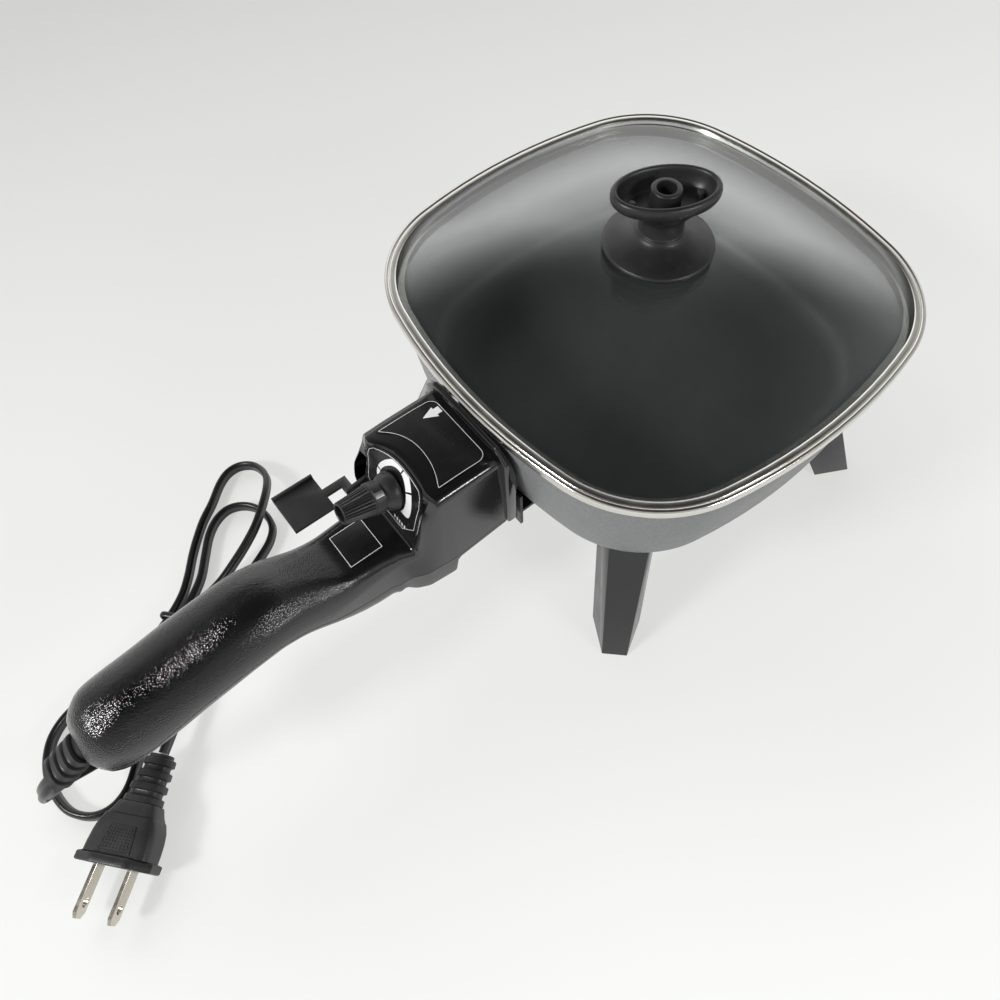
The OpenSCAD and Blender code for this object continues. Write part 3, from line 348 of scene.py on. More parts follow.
def make_floor():
    """Pale paper with painted shade that darkens it to the rear, and part lit by itself where it is
    seen.
    """
    f = Finish("floor paper", Specular_IOR_Level=0.2, Roughness=0.75)
    # painted shade: the paper colour darkens to the rear, standing in for light falling off across
    # the floor; the glow below carries the same painted shade
    away = f.clamp_between(f.axis("Y") * 1.34 - f.axis("X") * 0.04, -0.3, 0.75)
    paper_with_painted_falloff = f.blend(away, (0.93, 0.94, 0.925), (0.56, 0.565, 0.55))
    f.colour(paper_with_painted_falloff)
    glow = f.node("ShaderNodeEmission", Color=paper_with_painted_falloff)
    seen = f.node("ShaderNodeLightPath", out="Is Camera Ray")
    for ray in ("Is Glossy Ray", "Is Transmission Ray"):
        seen = seen + f.node("ShaderNodeLightPath", out=ray)
    share = seen.math("MINIMUM", 1) * FLOOR_GLOW
    f.join(f.surface, f.node("ShaderNodeMixShader", share,
                             Value(f, f.shader.outputs[0]), glow))
    bpy.ops.mesh.primitive_plane_add(size=FLOOR_SIZE)
    floor = bpy.context.object
    floor.name = "floor"
    floor.data.materials.append(f.material)
    bpy.ops.object.mode_set(mode="EDIT")
    bpy.ops.mesh.subdivide(number_cuts=FLOOR_CUTS)
    bpy.ops.object.mode_set(mode="OBJECT")


def make_world():
    """A sky with a bright belt and a brighter side, which the camera sees as plain grey."""
    world = bpy.data.worlds.new("studio")
    world.use_nodes = True
    SCENE.world = world
    tree = world.node_tree

    def node(kind, sources, values=(), **settings):
        made = tree.nodes.new(kind)
        for key, value in settings.items():
            setattr(made, key, value)
        for socket, value in values:
            made.inputs[socket].default_value = value
        for socket, source in sources:
            tree.links.new(source, made.inputs[socket])
        return made

    place = node("ShaderNodeTexCoord", []).outputs["Generated"]
    height = node("ShaderNodeSeparateXYZ", [(0, place)]).outputs["Z"]
    ramp = node("ShaderNodeValToRGB", [(0, height)])
    while len(ramp.color_ramp.elements) < len(SKY_STOPS):
        ramp.color_ramp.elements.new(0.5)
    for element, (stop, grey) in zip(ramp.color_ramp.elements, SKY_STOPS):
        element.position = stop
        element.color = (*(grey * tint for tint in SKY_TINT), 1)
    lobe = node("ShaderNodeVectorMath", [(0, place)], [(1, LOBE_WAY)], operation="DOT_PRODUCT")
    side = node("ShaderNodeMapRange", [(0, lobe.outputs["Value"])], enumerate(LOBE_RANGE, 1))
    sky = node("ShaderNodeMix", [(MIX_A, ramp.outputs[0]), (MIX_B, side.outputs[0])], [(0, 1)],
               data_type="RGBA", blend_type="MULTIPLY")
    seen = node("ShaderNodeLightPath", []).outputs["Is Camera Ray"]
    mix = node("ShaderNodeMix", [(0, seen), (MIX_A, sky.outputs[MIX_OUT])], [(MIX_B, BACKDROP)],
               data_type="RGBA")
    back = tree.nodes["Background"]
    tree.links.new(mix.outputs[MIX_OUT], back.inputs["Color"])
    back.inputs["Strength"].default_value = SKY_STRENGTH


SCENE.view_settings.view_transform = "Standard"
make_camera()
make_world()
make_floor()
make_soft_boxes()


# ---- making meshes ----

def pick(*pieces):
    """Selects these pieces alone, with the first one active."""
    bpy.ops.object.select_all(action="DESELECT")
    for piece in pieces:
        piece.select_set(True)
    bpy.context.view_layer.objects.active = pieces[0]


def edit(piece):
    pick(piece)
    bpy.ops.object.mode_set(mode="EDIT")
    return bmesh.from_edit_mesh(piece.data)


def end_edit():
    """Turns all faces outward and goes back to object mode."""
    bpy.ops.mesh.select_all(action="SELECT")
    bpy.ops.mesh.normals_make_consistent(inside=False)
    bpy.ops.object.mode_set(mode="OBJECT")


def draw_through(name, rings):
    """Extrudes one ring of points through all the rings of a form, with both ends closed."""
    bpy.ops.object.select_all(action="DESELECT")
    bpy.ops.mesh.primitive_circle_add(vertices=len(rings[0]), fill_type="NGON")
    piece = bpy.context.object
    piece.name = name
    for vertex, point in zip(piece.data.vertices, rings[0]):
        vertex.co = at(*point)
    bpy.ops.object.mode_set(mode="EDIT")
    bpy.ops.mesh.select_all(action="SELECT")
    count = len(rings[0])
    for ring in rings[1:]:
        bpy.ops.mesh.extrude_region()
        mesh = bmesh.from_edit_mesh(piece.data)
        mesh.verts.ensure_lookup_table()
        for vertex, point in zip(mesh.verts[-count:], ring):
            vertex.co = at(*point)
    bmesh.update_edit_mesh(piece.data)
    end_edit()
    return piece


def draw_round(name, rings):
    """The same with the last ring joined to the first, as a hoop."""
    piece = draw_through(name, rings + rings[:1])
    mesh = edit(piece)
    bpy.ops.mesh.select_all(action="DESELECT")
    for face in [face for face in mesh.faces if len(face.verts) > 4]:
        face.select = True
    bpy.ops.mesh.delete(type="ONLY_FACE")
    bpy.ops.mesh.select_all(action="SELECT")
    bpy.ops.mesh.remove_doubles(threshold=0.000002)
    end_edit()
    return piece


def use_modifier(piece, kind, **settings):
    pick(piece)
    made = piece.modifiers.new(kind, kind)
    for key, value in settings.items():
        setattr(made, key, value)
    bpy.ops.object.modifier_apply(modifier=made.name)


def round_edges(piece, width, segments=3, angle=30):
    use_modifier(piece, "BEVEL", width=width / 1000, segments=segments, limit_method="ANGLE",
                 angle_limit=radians(angle), use_clamp_overlap=True)


def settle(piece, angle, body, material, *nodes):
    """Gives a piece its shading, finish and body, and the plain parts it stands for."""
    pick(piece)
    bpy.ops.object.shade_smooth_by_angle(angle=radians(angle))
    piece.data.materials.clear()
    piece.data.materials.append(material)
    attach(piece, body)
    if nodes:
        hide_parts(*nodes)


def refined(node, width, body, material, segments=2, angle=28):
    """A copy of a plain part with its edges rounded, in its place."""
    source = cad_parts[node]
    piece = bpy.data.objects.new(node + "_refined", source.data.copy())
    SCENE.collection.objects.link(piece)
    edit(piece)
    bpy.ops.mesh.select_all(action="SELECT")
    bpy.ops.mesh.remove_doubles(threshold=0.00001)
    bpy.ops.mesh.dissolve_limited(angle_limit=radians(2))
    bpy.ops.object.mode_set(mode="OBJECT")
    round_edges(piece, width, segments, angle)
    settle(piece, 40, body, material, node)


def joined(name, pieces):
    pick(*pieces)
    bpy.ops.object.join()
    pieces[0].name = name
    return pieces[0]


def set_down(name):
    """Names the primitive just added and moves its place into its mesh."""
    piece = bpy.context.object
    piece.name = name
    bpy.ops.object.transform_apply(location=True, rotation=True, scale=True)
    return piece


def block(name, low, high):
    """A box between two corners, in mm from the middle of the pan."""
    middle = (at(*low) + at(*high)) / 2
    bpy.ops.mesh.primitive_cube_add(size=1, location=middle, scale=at(*high) - at(*low))
    return set_down(name)


def rod(name, start, end, radius, sides=48):
    """A round bar between two points."""
    a, b = at(*start), at(*end)
    bpy.ops.mesh.primitive_cylinder_add(
        vertices=sides, radius=radius / 1000, depth=(b - a).length, location=(a + b) / 2,
        rotation=(b - a).to_track_quat("Z", "Y").to_euler())
    return set_down(name)


def cut(piece, cutter):
    use_modifier(piece, "BOOLEAN", object=cutter, operation="DIFFERENCE", solver="EXACT")
    bpy.data.objects.remove(cutter)


def spline(points, steps):
    """A smooth line through points of any dimension."""
    points = [Vector(p) for p in points]
    line = []
    last = len(points) - 1
    for i in range(last):
        a, b, c, d = points[max(i - 1, 0)], points[i], points[i + 1], points[min(i + 2, last)]
        for k in range(steps):
            t = k / steps
            line.append(b + t * (c - a) / 2 + t * t * (2 * a - 5 * b + 4 * c - d) / 2
                        + t ** 3 * (3 * b - a - 3 * c + d) / 2)
    line.append(points[-1])
    return line


def look(line, x):
    """Height of a bent line at x."""
    if x <= line[0][0]:
        return line[0][1]
    for (x0, y0), (x1, y1) in zip(line, line[1:]):
        if x <= x1:
            return y0 + (y1 - y0) * (x - x0) / (x1 - x0)
    return line[-1][1]


def mean_near(height, x, reach, steps):
    """The mean of a height over a reach to both sides of x."""
    return sum(height(x + reach * k / steps) for k in range(-steps, steps + 1)) / (2 * steps + 1)


def soft_look(line, x, reach):
    """Height of a bent line with its corners rounded over a reach to both sides."""
    if reach < 0.05:
        return look(line, x)
    return mean_near(lambda near: look(line, near), x, reach, 6)


def turned(x, y, z, angle):
    """A point turned about the upright axis."""
    c, s = cos(angle), sin(angle)
    return (x * c - y * s, x * s + y * c, z)


def quarter_turn(steps):
    return [pi / 2 * i / steps for i in range(steps + 1)]


# ---- pan ----

LID_HALF, CORNER_R, BULGE = 89.0, 50.3, 3.7
RIM_Z, BASE_Z, FLOOR_Z = 106.2, 60.0, 65.0
CORNER_C = LID_HALF - BULGE - CORNER_R
SIDE_R = ((CORNER_C - LID_HALF) ** 2 + CORNER_C ** 2 - CORNER_R ** 2) / (2 * BULGE)
TANGENT = atan2(CORNER_C, CORNER_C - LID_HALF + SIDE_R)


def outline(inset, z, scale=1.0):
    """Rounded square of the lid, moved inward."""
    side_steps, corner_steps = 12, 26
    quarter = [(LID_HALF - SIDE_R, 0, SIDE_R - inset, TANGENT * (2 * i / side_steps - 1))
               for i in range(side_steps)]
    quarter += [(CORNER_C, CORNER_C, CORNER_R - inset,
                 TANGENT + (pi / 2 - 2 * TANGENT) * i / corner_steps)
                for i in range(corner_steps)]
    return [turned(scale * (cx + r * cos(a)), scale * (cy + r * sin(a)), z,
                   pi / 2 * turn)
            for turn in range(4) for cx, cy, r, a in quarter]


def make_pan():
    """The dish as one turned wall, and the lug with its bores for the pins and the probe."""
    foot, wall, rim = 9.0, 2.6, 2.8          # insets of the foot and the rim, and the wall
    inner_r, outer_r = 9.4, 9.0
    inside = [(foot + wall + inner_r * (1 - cos(a)), FLOOR_Z + inner_r * (1 - sin(a)))
              for a in reversed(quarter_turn(9))]
    lip = [(rim + wall + 0.35, RIM_Z - 4), (rim + wall, RIM_Z - 0.9),
           (rim + wall - 0.25, RIM_Z - 0.25), (rim + wall - 0.9, RIM_Z), (rim + 0.9, RIM_Z),
           (rim + 0.25, RIM_Z - 0.25), (rim, RIM_Z - 0.9)]
    outside = [(foot - 1.2 + outer_r * (1 - cos(a)), BASE_Z + outer_r * (1 - sin(a)))
               for a in quarter_turn(12)]
    floor_top, floor_under = [(50, FLOOR_Z), (24, FLOOR_Z)], [(24, BASE_Z), (50, BASE_Z)]
    profile = floor_top + inside + lip + outside + floor_under
    pan = draw_through("pan_shell", [outline(i, z) for i, z in profile])
    coated = pan.data.attributes.new("coated", "FLOAT", "POINT")
    coated_points = len(outline(0, 0)) * (len(floor_top) + len(inside) + 4)
    for i, value in enumerate(coated.data):
        value.value = 1.0 if i < coated_points else 0.0
    lug = block("pan_lug", (-81, -14.5, 51), (-70, 14.5, 69))
    round_edges(lug, 0.8)
    for y in (-9.5, 9.5):
        cut(lug, rod("bore", (-82, y, 64), (-71, y, 64), 3.65))
    cut(lug, rod("bore", (-82, 0, 64), (-76, 0, 64), 2.6))
    for value in lug.data.attributes.new("coated", "FLOAT", "POINT").data:
        value.value = 0.0
    pan = joined("pan_shell", [pan, lug])
    settle(pan, 40, "pan", PAN, "pan")


# ---- lid ----

GLASS_EDGE_Z, GLASS_T, DOME = 109.9, 2.8, 16.0


def dome(share):
    """Height of the glass over its edge, where share 0 is the middle and 1 the edge."""
    flat, brim, power, reach = 0.22, 0.95, 2.2, 0.02

    def plain(s):
        rise = 1 - (max(s, flat) / brim) ** power
        return 0 if s >= brim else DOME * rise / (1 - (flat / brim) ** power)
    return mean_near(plain, share, reach, 8)


def make_lid():
    shares = [0.12, 0.18, 0.22, 0.26, 0.32, 0.38, 0.45, 0.52, 0.58, 0.64, 0.7, 0.75, 0.79, 0.82,
              0.85, 0.875, 0.9, 0.915, 0.925, 0.932, 0.94, 0.948, 0.956, 0.964, 0.972, 0.982, 0.992]
    inset, under_z = 1.8, GLASS_EDGE_Z - GLASS_T
    under = [outline(inset, under_z + dome(s), s) for s in shares]
    edge = [outline(inset, under_z), outline(inset, GLASS_EDGE_Z)]
    over = [outline(inset, GLASS_EDGE_Z + dome(s), s) for s in reversed(shares)]
    glass = draw_through("lid_glass_dome", under + edge + over)
    cut(glass, rod("hole", (0, 0, 100), (0, 0, 135), 2.6))
    settle(glass, 50, "lid", GLASS, "lid_glass")

    low, over_z = 106.5, 109.95
    top = over_z + 0.55
    low_r, top_r = 1.0, 1.1
    outer = [(low_r * (1 - cos(a)), low + low_r * (1 - sin(a)))
             for a in reversed(quarter_turn(4))]
    upper = [(top_r * (1 - cos(a)), top - top_r * (1 - sin(a))) for a in quarter_turn(5)]
    profile = outer + upper + [(1.55, top - 0.08), (1.8, top - 0.32), (2.05, top - 0.1), (2.5, top),
                               (3.7, top - 0.02), (4.1, top - 0.12), (4.3, top - 0.32),
                               (4.25, over_z), (1.7, over_z), (1.7, 107.05), (7.1, 107.05),
                               (7.1, 103.6), (6.85, 103.5), (6.6, 103.6), (6.6, low)]
    band = draw_round("lid_rim_band", [outline(i, z) for i, z in profile])
    settle(band, 38, "lid", BAND, "lid_band")


def turned_oval(a, b, z):
    """An oval ring of the lid knob, which stands slantwise on the lid."""
    count, slant = 72, radians(-27)
    steps = [2 * pi * i / count for i in range(count)]
    return [turned(a * cos(t), b * sin(t), z, slant) for t in steps]


def rounds(rows):
    return [(r, r, z) for r, z in rows]


def make_lid_knob():
    foot = 126.7
    skirt = spline(rounds([(19.6, 0.1), (20, 0.4), (20.15, 1), (19.9, 1.7), (19.2, 2.2),
                           (16.6, 3.1), (13.8, 4), (11.2, 5.1), (9.6, 6.1), (8.8, 6.9)]), 3)
    ring = spline(rounds([(8.7, 7.3), (8.5, 7.6), (8.1, 7.8), (7.9, 8.4)]), 3)
    cup = spline([(7.9, 7.9, 11.5), (8, 8, 13), (8.8, 8.3, 14.4), (10.6, 9.1, 15.9),
                  (13.4, 9.8, 17.6), (16, 10.5, 19), (17.8, 11.3, 20)], 3)
    lip = spline([(18.5, 11.8, 20.3), (19, 12.1, 21), (19.2, 12.2, 22), (19.15, 12.15, 23),
                  (18.8, 11.8, 23.9), (18.1, 11.1, 24.4), (17.4, 10.4, 24.4), (16.9, 10, 24),
                  (16.6, 9.7, 23.3)], 3)
    bowl = spline([(16.3, 9.4, 22.2), (15.6, 8.8, 20.6), (14.4, 8, 19), (12.8, 7.3, 18.1),
                   (10.8, 7, 17.9), (8, 6.3, 17.9)], 3)
    boss = rounds([(5.5, 17.8), (5.4, 18), (5.4, 23.6), (5.2, 23.95), (4.9, 24.1), (3.7, 24.1),
                   (3.45, 23.9), (3.4, 23.5), (3.4, 16.6), (2.1, 16.55)])
    profile = [(17, 17, 0), (19, 19, 0)] + skirt + ring + cup + lip + bowl + boss
    knob = draw_through("lid_knob_shape", [turned_oval(a, b, foot + z) for a, b, z in profile])
    ears = []
    for x, y in ((11.2, -5.7), (-11, 4.8)):
        ear = rod("ear", (x, y, foot + 17), (x, y, foot + 20.6), 1.5, 24)
        round_edges(ear, 0.5)
        ears.append(ear)
    knob = joined("lid_knob_shape", [knob] + ears)
    settle(knob, 38, "lid", KNOB_BLACK, "lid_knob")


# ---- handle ----

GRIP = 245.5
FACE_FOOT, FACE_FOOT_Z, HEAD_REAR, HEAD_TOP, HEAD_FRONT = 124.2, 68.3, 117.0, 95.5, 88.3
TOP_LINE = [(-GRIP, 58.5), (-244.3, 64), (-241.5, 69), (-236.5, 72.4), (-228, 74.2), (-217, 74.6),
            (-206, 76), (-196, 77.7), (-185, 79.7), (-176, 80.2), (-168, 78.2), (-160, 73.2),
            (-154, 69.6), (-149, 67.5), (-131, 67.5), (-FACE_FOOT, FACE_FOOT_Z),
            (-HEAD_REAR, HEAD_TOP), (-HEAD_FRONT, HEAD_TOP)]
LOW_LINE = [(-GRIP, 56), (-244.3, 53), (-241.5, 51.2), (-236.5, 50.2), (-228, 50.2), (-217, 50.5),
            (-206, 51.9), (-196, 53.6), (-185, 55.5), (-176, 55.9), (-168, 52.4), (-160, 46.4),
            (-154, 42.6), (-149, 40.4), (-142, 39.2), (-133.5, 39.4), (-131.5, 45.8),
            (-112.4, 45.8), (-112, 55), (-HEAD_FRONT, 55)]
SEAM_LINE = [(-GRIP, 57.2), (-228, 58), (-208, 63), (-193, 65), (-178, 65.8), (-168, 62.2),
             (-158, 54.6), (-150, 51.4), (-142, 50.2), (-133, 50), (-130.5, 54), (-129, 57.5),
             (-HEAD_FRONT, 57.5)]
GRIP_WIDTH = [(-GRIP, 5), (-244.3, 9), (-241.5, 12.4), (-236.5, 15), (-228, 16.3), (-196, 16.4),
              (-180, 16.2), (-168, 15.4), (-158, 14.7), (-149, 14.2)]
WIDTH_LINE = GRIP_WIDTH + [(-136, 14.6), (-132, 16.2), (-129, 19.5), (-FACE_FOOT, 21.8),
                           (-112, 23), (-HEAD_FRONT, 22)]
CROWN_LINE = GRIP_WIDTH + [(-136, 14.4), (-131, 15.4), (-FACE_FOOT, 18.4),
                           (-HEAD_REAR, 20.5), (-HEAD_FRONT, 20.5)]
ROUND_LINE = [(-GRIP, 4.8), (-241.5, 12), (-228, 15.4), (-168, 14.6), (-149, 6), (-131, 5),
              (-FACE_FOOT, 3.4), (-HEAD_FRONT, 3)]
ROUND_UP_LINE = [(-GRIP, 1.2), (-241.5, 11), (-228, 15.6), (-206, 12.8), (-176, 14), (-160, 15),
                 (-149, 9), (-131, 6), (-FACE_FOOT, 3.4), (-HEAD_FRONT, 3)]
ROUND_LOW_LINE = [(-GRIP, 1), (-228, 7.4), (-206, 10.6), (-176, 9.6), (-149, 9), (-135, 8),
                  (-131.5, 2), (-112.4, 2), (-112, 0.8), (-HEAD_FRONT, 0.8)]
WALL, SEAM_GAP, NECK_TOP = 2.4, 0.3, 67.5


def softness(x):
    """How far the handle's corners are rounded along its length."""
    return look([(-GRIP, 0), (-243, 0.6), (-236, 2.5), (-225, 5), (-165, 5), (-152, 3), (-146, 1.6),
                 (-134, 1), (-126, 1.2), (-112, 0.8), (-90, 0.2), (-HEAD_FRONT, 0)], x)


def half_round(half, crown, high, a, b):
    """Half a section: its sides lean from half to crown, its corners have radii a and b."""
    right = [(half, 0.0), (half + (crown - half) * 0.5, (high - b) * 0.5)]
    right += [(crown - a + a * cos(t), high - b + b * sin(t)) for t in quarter_turn(14)]
    right += [((crown - a) * k, high) for k in (0.84, 0.68, 0.52, 0.36, 0.22, 0.08)]
    return right + [(-y, z) for y, z in reversed(right)]


def shell_section(x, up):
    """Outer arc and inner arc of the upper shell (up 1) or lower shell (up -1) at x."""
    s = softness(x)
    half = soft_look(WIDTH_LINE, x, s)
    if up > 0:
        seam = soft_look(SEAM_LINE, x, min(s, 2))
        peak = soft_look(TOP_LINE, x, s)
        crown = soft_look(CROWN_LINE, x, s)
        rz = soft_look(ROUND_UP_LINE, x, s)
    else:
        seam = soft_look(SEAM_LINE, x, min(s, 2)) - SEAM_GAP
        peak = soft_look(LOW_LINE, x, min(s, 1.5 if x > -150 else 5))
        crown = half
        rz = soft_look(ROUND_LOW_LINE, x, s)
    height = abs(peak - seam)
    ry, rz = min(soft_look(ROUND_LINE, x, s), crown - 0.2), min(rz, height - 0.12)
    depth = unit((x + GRIP - 2) / 6)          # the hollow starts behind the closed end
    inner_high = max(height - WALL, 0.3) * depth + 0.05
    inner_half = max(half - WALL - 3 * (1 - depth), 0.6)
    inner_crown = max(crown - WALL - 3 * (1 - depth), 0.5)
    inner_ry = min(max(ry - WALL, 0.8), inner_crown - 0.1)
    inner_rz = min(max(rz - WALL, 0.4), inner_high - 0.02)
    outer = half_round(half, crown, height, ry, rz)
    inner = half_round(inner_half, inner_crown, inner_high, inner_ry, inner_rz)
    return [(x, y, seam + up * z) for y, z in outer + inner[::-1]]


def handle_stations():
    """Places of the sections along X, close together where the form changes fast."""
    xs = [-GRIP, -245.3, -245.0, -244.5, -243.8, -242.8, -241.5, -240, -238, -236]
    for start, step, count in ((-234, 2.2, 36), (-154, 1.0, 20), (-134, 0.4, 45),
                               (-115, 1.0, 2), (-113, 0.2, 8)):
        xs += [start + step * i for i in range(count)]
    xs += [-110, -105, -100, -95, -90, -89, -HEAD_FRONT]
    return sorted(set(round(x, 3) for x in xs))


FACE_TILT = atan((FACE_FOOT - HEAD_REAR) / (HEAD_TOP - FACE_FOOT_Z))
DIAL_Z = 84.9
DIAL_X = -HEAD_REAR - (HEAD_TOP - DIAL_Z) * tan(FACE_TILT)
DIAL_AXIS = Vector((-cos(FACE_TILT), 0, sin(FACE_TILT)))
DIAL_UP = Vector((sin(FACE_TILT), 0, cos(FACE_TILT)))


def on_dial(u, v, t):
    """A point on the dial face: u up the face, v across it, t out of it."""
    p = Vector((DIAL_X, 0, DIAL_Z)) + u * DIAL_UP + t * DIAL_AXIS
    return (p.x, v, p.z)


# How far the head's rear edge is moved along X at +Y and at -Y, and its +Y side along Y
EDGE_PLUS = [(58, 0), (66, -1.8), (73, -3.4), (80, -3), (86, -0.4), (91, 2.6), (96, 6)]
EDGE_MINUS = [(58, 0), (75, 0.9), (88, 1.8), (96, 2.8)]
SIDE_BULGE = [(60, 0), (68, 1.4), (78, 1.9), (86, 1.2), (92, 0.2), (96, -0.6)]


def head_form(x, y, z):
    """Crowns the head's deck, dishes the top of the dial face, trims the upright corners
    and bulges the +Y side."""
    if x > -92 or z < 56:
        return x, y, z
    bow = 3.6 - (0.026 if y > 0 else 0.0085) * y * y
    dx = bow * unit((z - 83) / 12.5) ** 2 * unit((-102 - x) / 13)
    edge = look(EDGE_PLUS if y > 0 else EDGE_MINUS, z)
    dx += edge * ease((abs(y) - 14.5) / 6) * unit((-104 - x) / 10)
    dy = look(SIDE_BULGE, z) * ease((-108 - x) / 8) * ease((y - 14.5) / 4)
    dz = max(0.0, 1 - (y / 20) ** 2) * unit((z - 86) / 9) * ease((-92 - x) / 9)
    return x + dx, y + dy, z + dz


def reshape(piece):
    for vertex in piece.data.vertices:
        p = vertex.co * 1000
        vertex.co = at(*head_form(p.x - PAN_X, p.y, p.z))


def make_handle_shells():
    xs = handle_stations()
    top = draw_through("top_shell", [shell_section(x, 1) for x in xs])
    cut(top, block("slot", (-132, 15.8, 68.6), (-110, 19.2, 85.6)))
    cut(top, rod("hole", on_dial(0, 0, -8), on_dial(0, 0, 4), 2.6))
    reshape(top)
    settle(top, 32, "handle", PEBBLE, "handle_top_shell")
    bottom = draw_through("bottom_shell", [shell_section(x, -1) for x in xs])
    for x, z in ((-215, 50.6), (-172, 54.2), (-140, 39.3)):
        cut(bottom, rod("well", (x, 0, z - 4), (x, 0, z + 2), 2.9))
    cut(bottom, block("slot", (-100, 15.8, 50), (-80, 19.2, 60)))
    settle(bottom, 32, "handle", PEBBLE, "handle_bottom_shell")
    refined("front_collar", 1.0, "handle", GLOSS, 3)


def patch(name, rows, material, body="handle", thick=0.05, *nodes):
    """A thin film with rows of points along its middle."""
    bpy.ops.mesh.primitive_grid_add(x_subdivisions=len(rows[0]) - 1,
                                    y_subdivisions=len(rows) - 1, size=0.01)
    piece = bpy.context.object
    piece.name = name
    for vertex, point in zip(piece.data.vertices, [p for row in rows for p in row]):
        vertex.co = at(*point)
    use_modifier(piece, "SOLIDIFY", thickness=thick / 1000, offset=0)
    edit(piece)
    end_edit()
    settle(piece, 40, body, material, *nodes)


# Heights over the head: the labels' upper side, and from there a film's middle and the print
LABEL_Z, FILM_Z, PRINT_Z = 0.3, -0.15, 0.06
FILM_THICK, LINE_WIDTH = 0.3, 0.16


def line_round(name, points, place):
    """A thin printed line that runs round through points and back to the first."""
    count = len(points)
    rows = ([], [])
    for i in range(count + 1):
        a, b, c = (Vector(points[(i + k) % count]) for k in (-1, 0, 1))
        one, two = (b - a).normalized(), (c - b).normalized()
        out = Vector((one.y + two.y, -one.x - two.x)).normalized()
        reach = LINE_WIDTH / 2 / max(0.5, out.dot(Vector((one.y, -one.x))))
        for row, side in zip(rows, (1, -1)):
            row.append(place(*(b + out * reach * side), PRINT_Z))
    patch(name, rows, PRINT)


def between(first, last, gap=1.0):
    """Points along a straight line, a gap apart, without the last."""
    first, last = Vector(first), Vector(last)
    steps = max(1, round((last - first).length / gap))
    return [tuple(first.lerp(last, i / steps)) for i in range(steps)]


def lined(corners, gap=1.0):
    return [p for a, b in zip(corners, corners[1:] + corners[:1]) for p in between(a, b, gap)]


def arc_points(cx, cy, radius, start, end, steps):
    """Points on an arc between two angles in degrees."""
    angles = [radians(start + (end - start) * i / steps) for i in range(steps + 1)]
    return [(cx + radius * cos(a), cy + radius * sin(a)) for a in angles]


def make_labels():
    """Black films and their printed frames, arrow and heat marks; no wording."""
    def on_head(a, b, t):
        return head_form(a, b, HEAD_TOP + LABEL_Z + t)

    def on_neck(a, b, t):
        return (a, b, NECK_TOP + LABEL_Z + t)

    def on_face(a, b, t):
        return head_form(*on_dial(a, b, LABEL_Z + t))

    def strip(name, low, high, place):
        patch(name, [[place(*Vector(a).lerp(Vector(b), k / 3), PRINT_Z)
                      for a, b in zip(low, high)] for k in range(4)], PRINT)

    rear = arc_points(-143.4, 0, 35.6, -26.4, 26.4, 26)
    front = arc_points(-93.6, 12.4, 3.4, 90, 0, 8) + between((-90.2, 12.4), (-90.2, -12.4))
    front += arc_points(-93.6, -12.4, 3.4, 0, -90, 8)
    border = rear + between(rear[-1], front[0])[1:] + front + between(front[-1], rear[0])[1:]
    line_round("head_border", border, on_head)
    rows = []
    for i in range(31):
        y = 16.3 * cos(pi * i / 30)
        back = -143.0 + sqrt(34.6 ** 2 - y * y)
        past = min(3.6, max(0, abs(y) - 12.6))
        ahead = -89.8 - (3.6 - sqrt(3.6 ** 2 - past ** 2))
        rows.append([on_head(back + (ahead - back) * k / 16, y, FILM_Z) for k in range(17)])
    patch("head_film", rows, LABEL, "handle", FILM_THICK, "head_label")
    strip("head_arrow_tip", [(-98.1, 10.35), (-93, 8)], [(-98.1, 10.5), (-93, 12.8)], on_head)
    strip("head_arrow_shaft", [(-93.05, 9), (-90.9, 9)], [(-93.05, 11.8), (-90.9, 11.8)], on_head)

    corners = [(-145.2, -7.2), (-132.4, -7.2), (-132.4, 7.2), (-145.2, 7.2)]
    line_round("neck_border", lined(corners, 3), on_neck)
    refined("neck_label", 0.12, "handle", LABEL, 2)

    sides = [(-14.2, 8.6), (-8, 15), (4.6, 15.6), (8.6, 14.4), (10.2, 12.4)]
    rows = []
    for i in range(45):
        u = -14.2 + 24.4 * i / 44
        rows.append([on_face(u, look(sides, u) * (1 - 2 * k / 28), FILM_Z) for k in range(29)])
    patch("face_film", rows, LABEL, "handle", FILM_THICK, "dial_plate")
    inner = [(-13.4, 8), (-7.6, 14.2), (4.4, 14.8), (8.2, 13.7), (9.5, 12)]
    line_round("face_border", lined(inner + [(u, -v) for u, v in reversed(inner)]), on_face)
    spans = ((98, 75, 1.2, 1.8), (71, -9, 1.8, 2.4), (-13, -55, 2.5, 3.1), (-59, -131, 3.1, 3.7))
    for i, (start, end, w0, w1) in enumerate(spans):
        ring = arc_points(0, 0, 8, start, end, 16)
        taper = [1 if i < 3 or k < 13 else 1 - 0.13 * (k - 12) ** 1.4 for k in range(17)]
        wide = [1 + (w0 + (w1 - w0) * k / 16) * taper[k] / 8 for k in range(17)]
        outer = [(min(u * m, 9.2), v * m) for (u, v), m in zip(ring, wide)]
        strip("heat_mark_%d" % (i + 1), ring, outer, on_face)
    for i in range(5):
        v = -2.8 - 1.5 * i
        strip("low_mark_%d" % (i + 1), [(-12.2, v), (-10.6, v)],
              [(-12.2, v - 0.7), (-10.6, v - 0.7)], on_face)


DISC_Z = 0.9             # the dial's zero height over the dial face


def dial_ring(radius, t, depth):
    """A ring of the dial at height t, with grooves of some depth between fine ribs."""
    count, ribs = 168, 28
    ring = []
    for i in range(count):
        a = 2 * pi * i / count
        wave = 0.5 + 0.5 * cos(ribs * a)
        r = radius - depth * (1 - min(1, wave * 1.6))
        ring.append(on_dial(r * cos(a), r * sin(a), DISC_Z + t))
    return ring


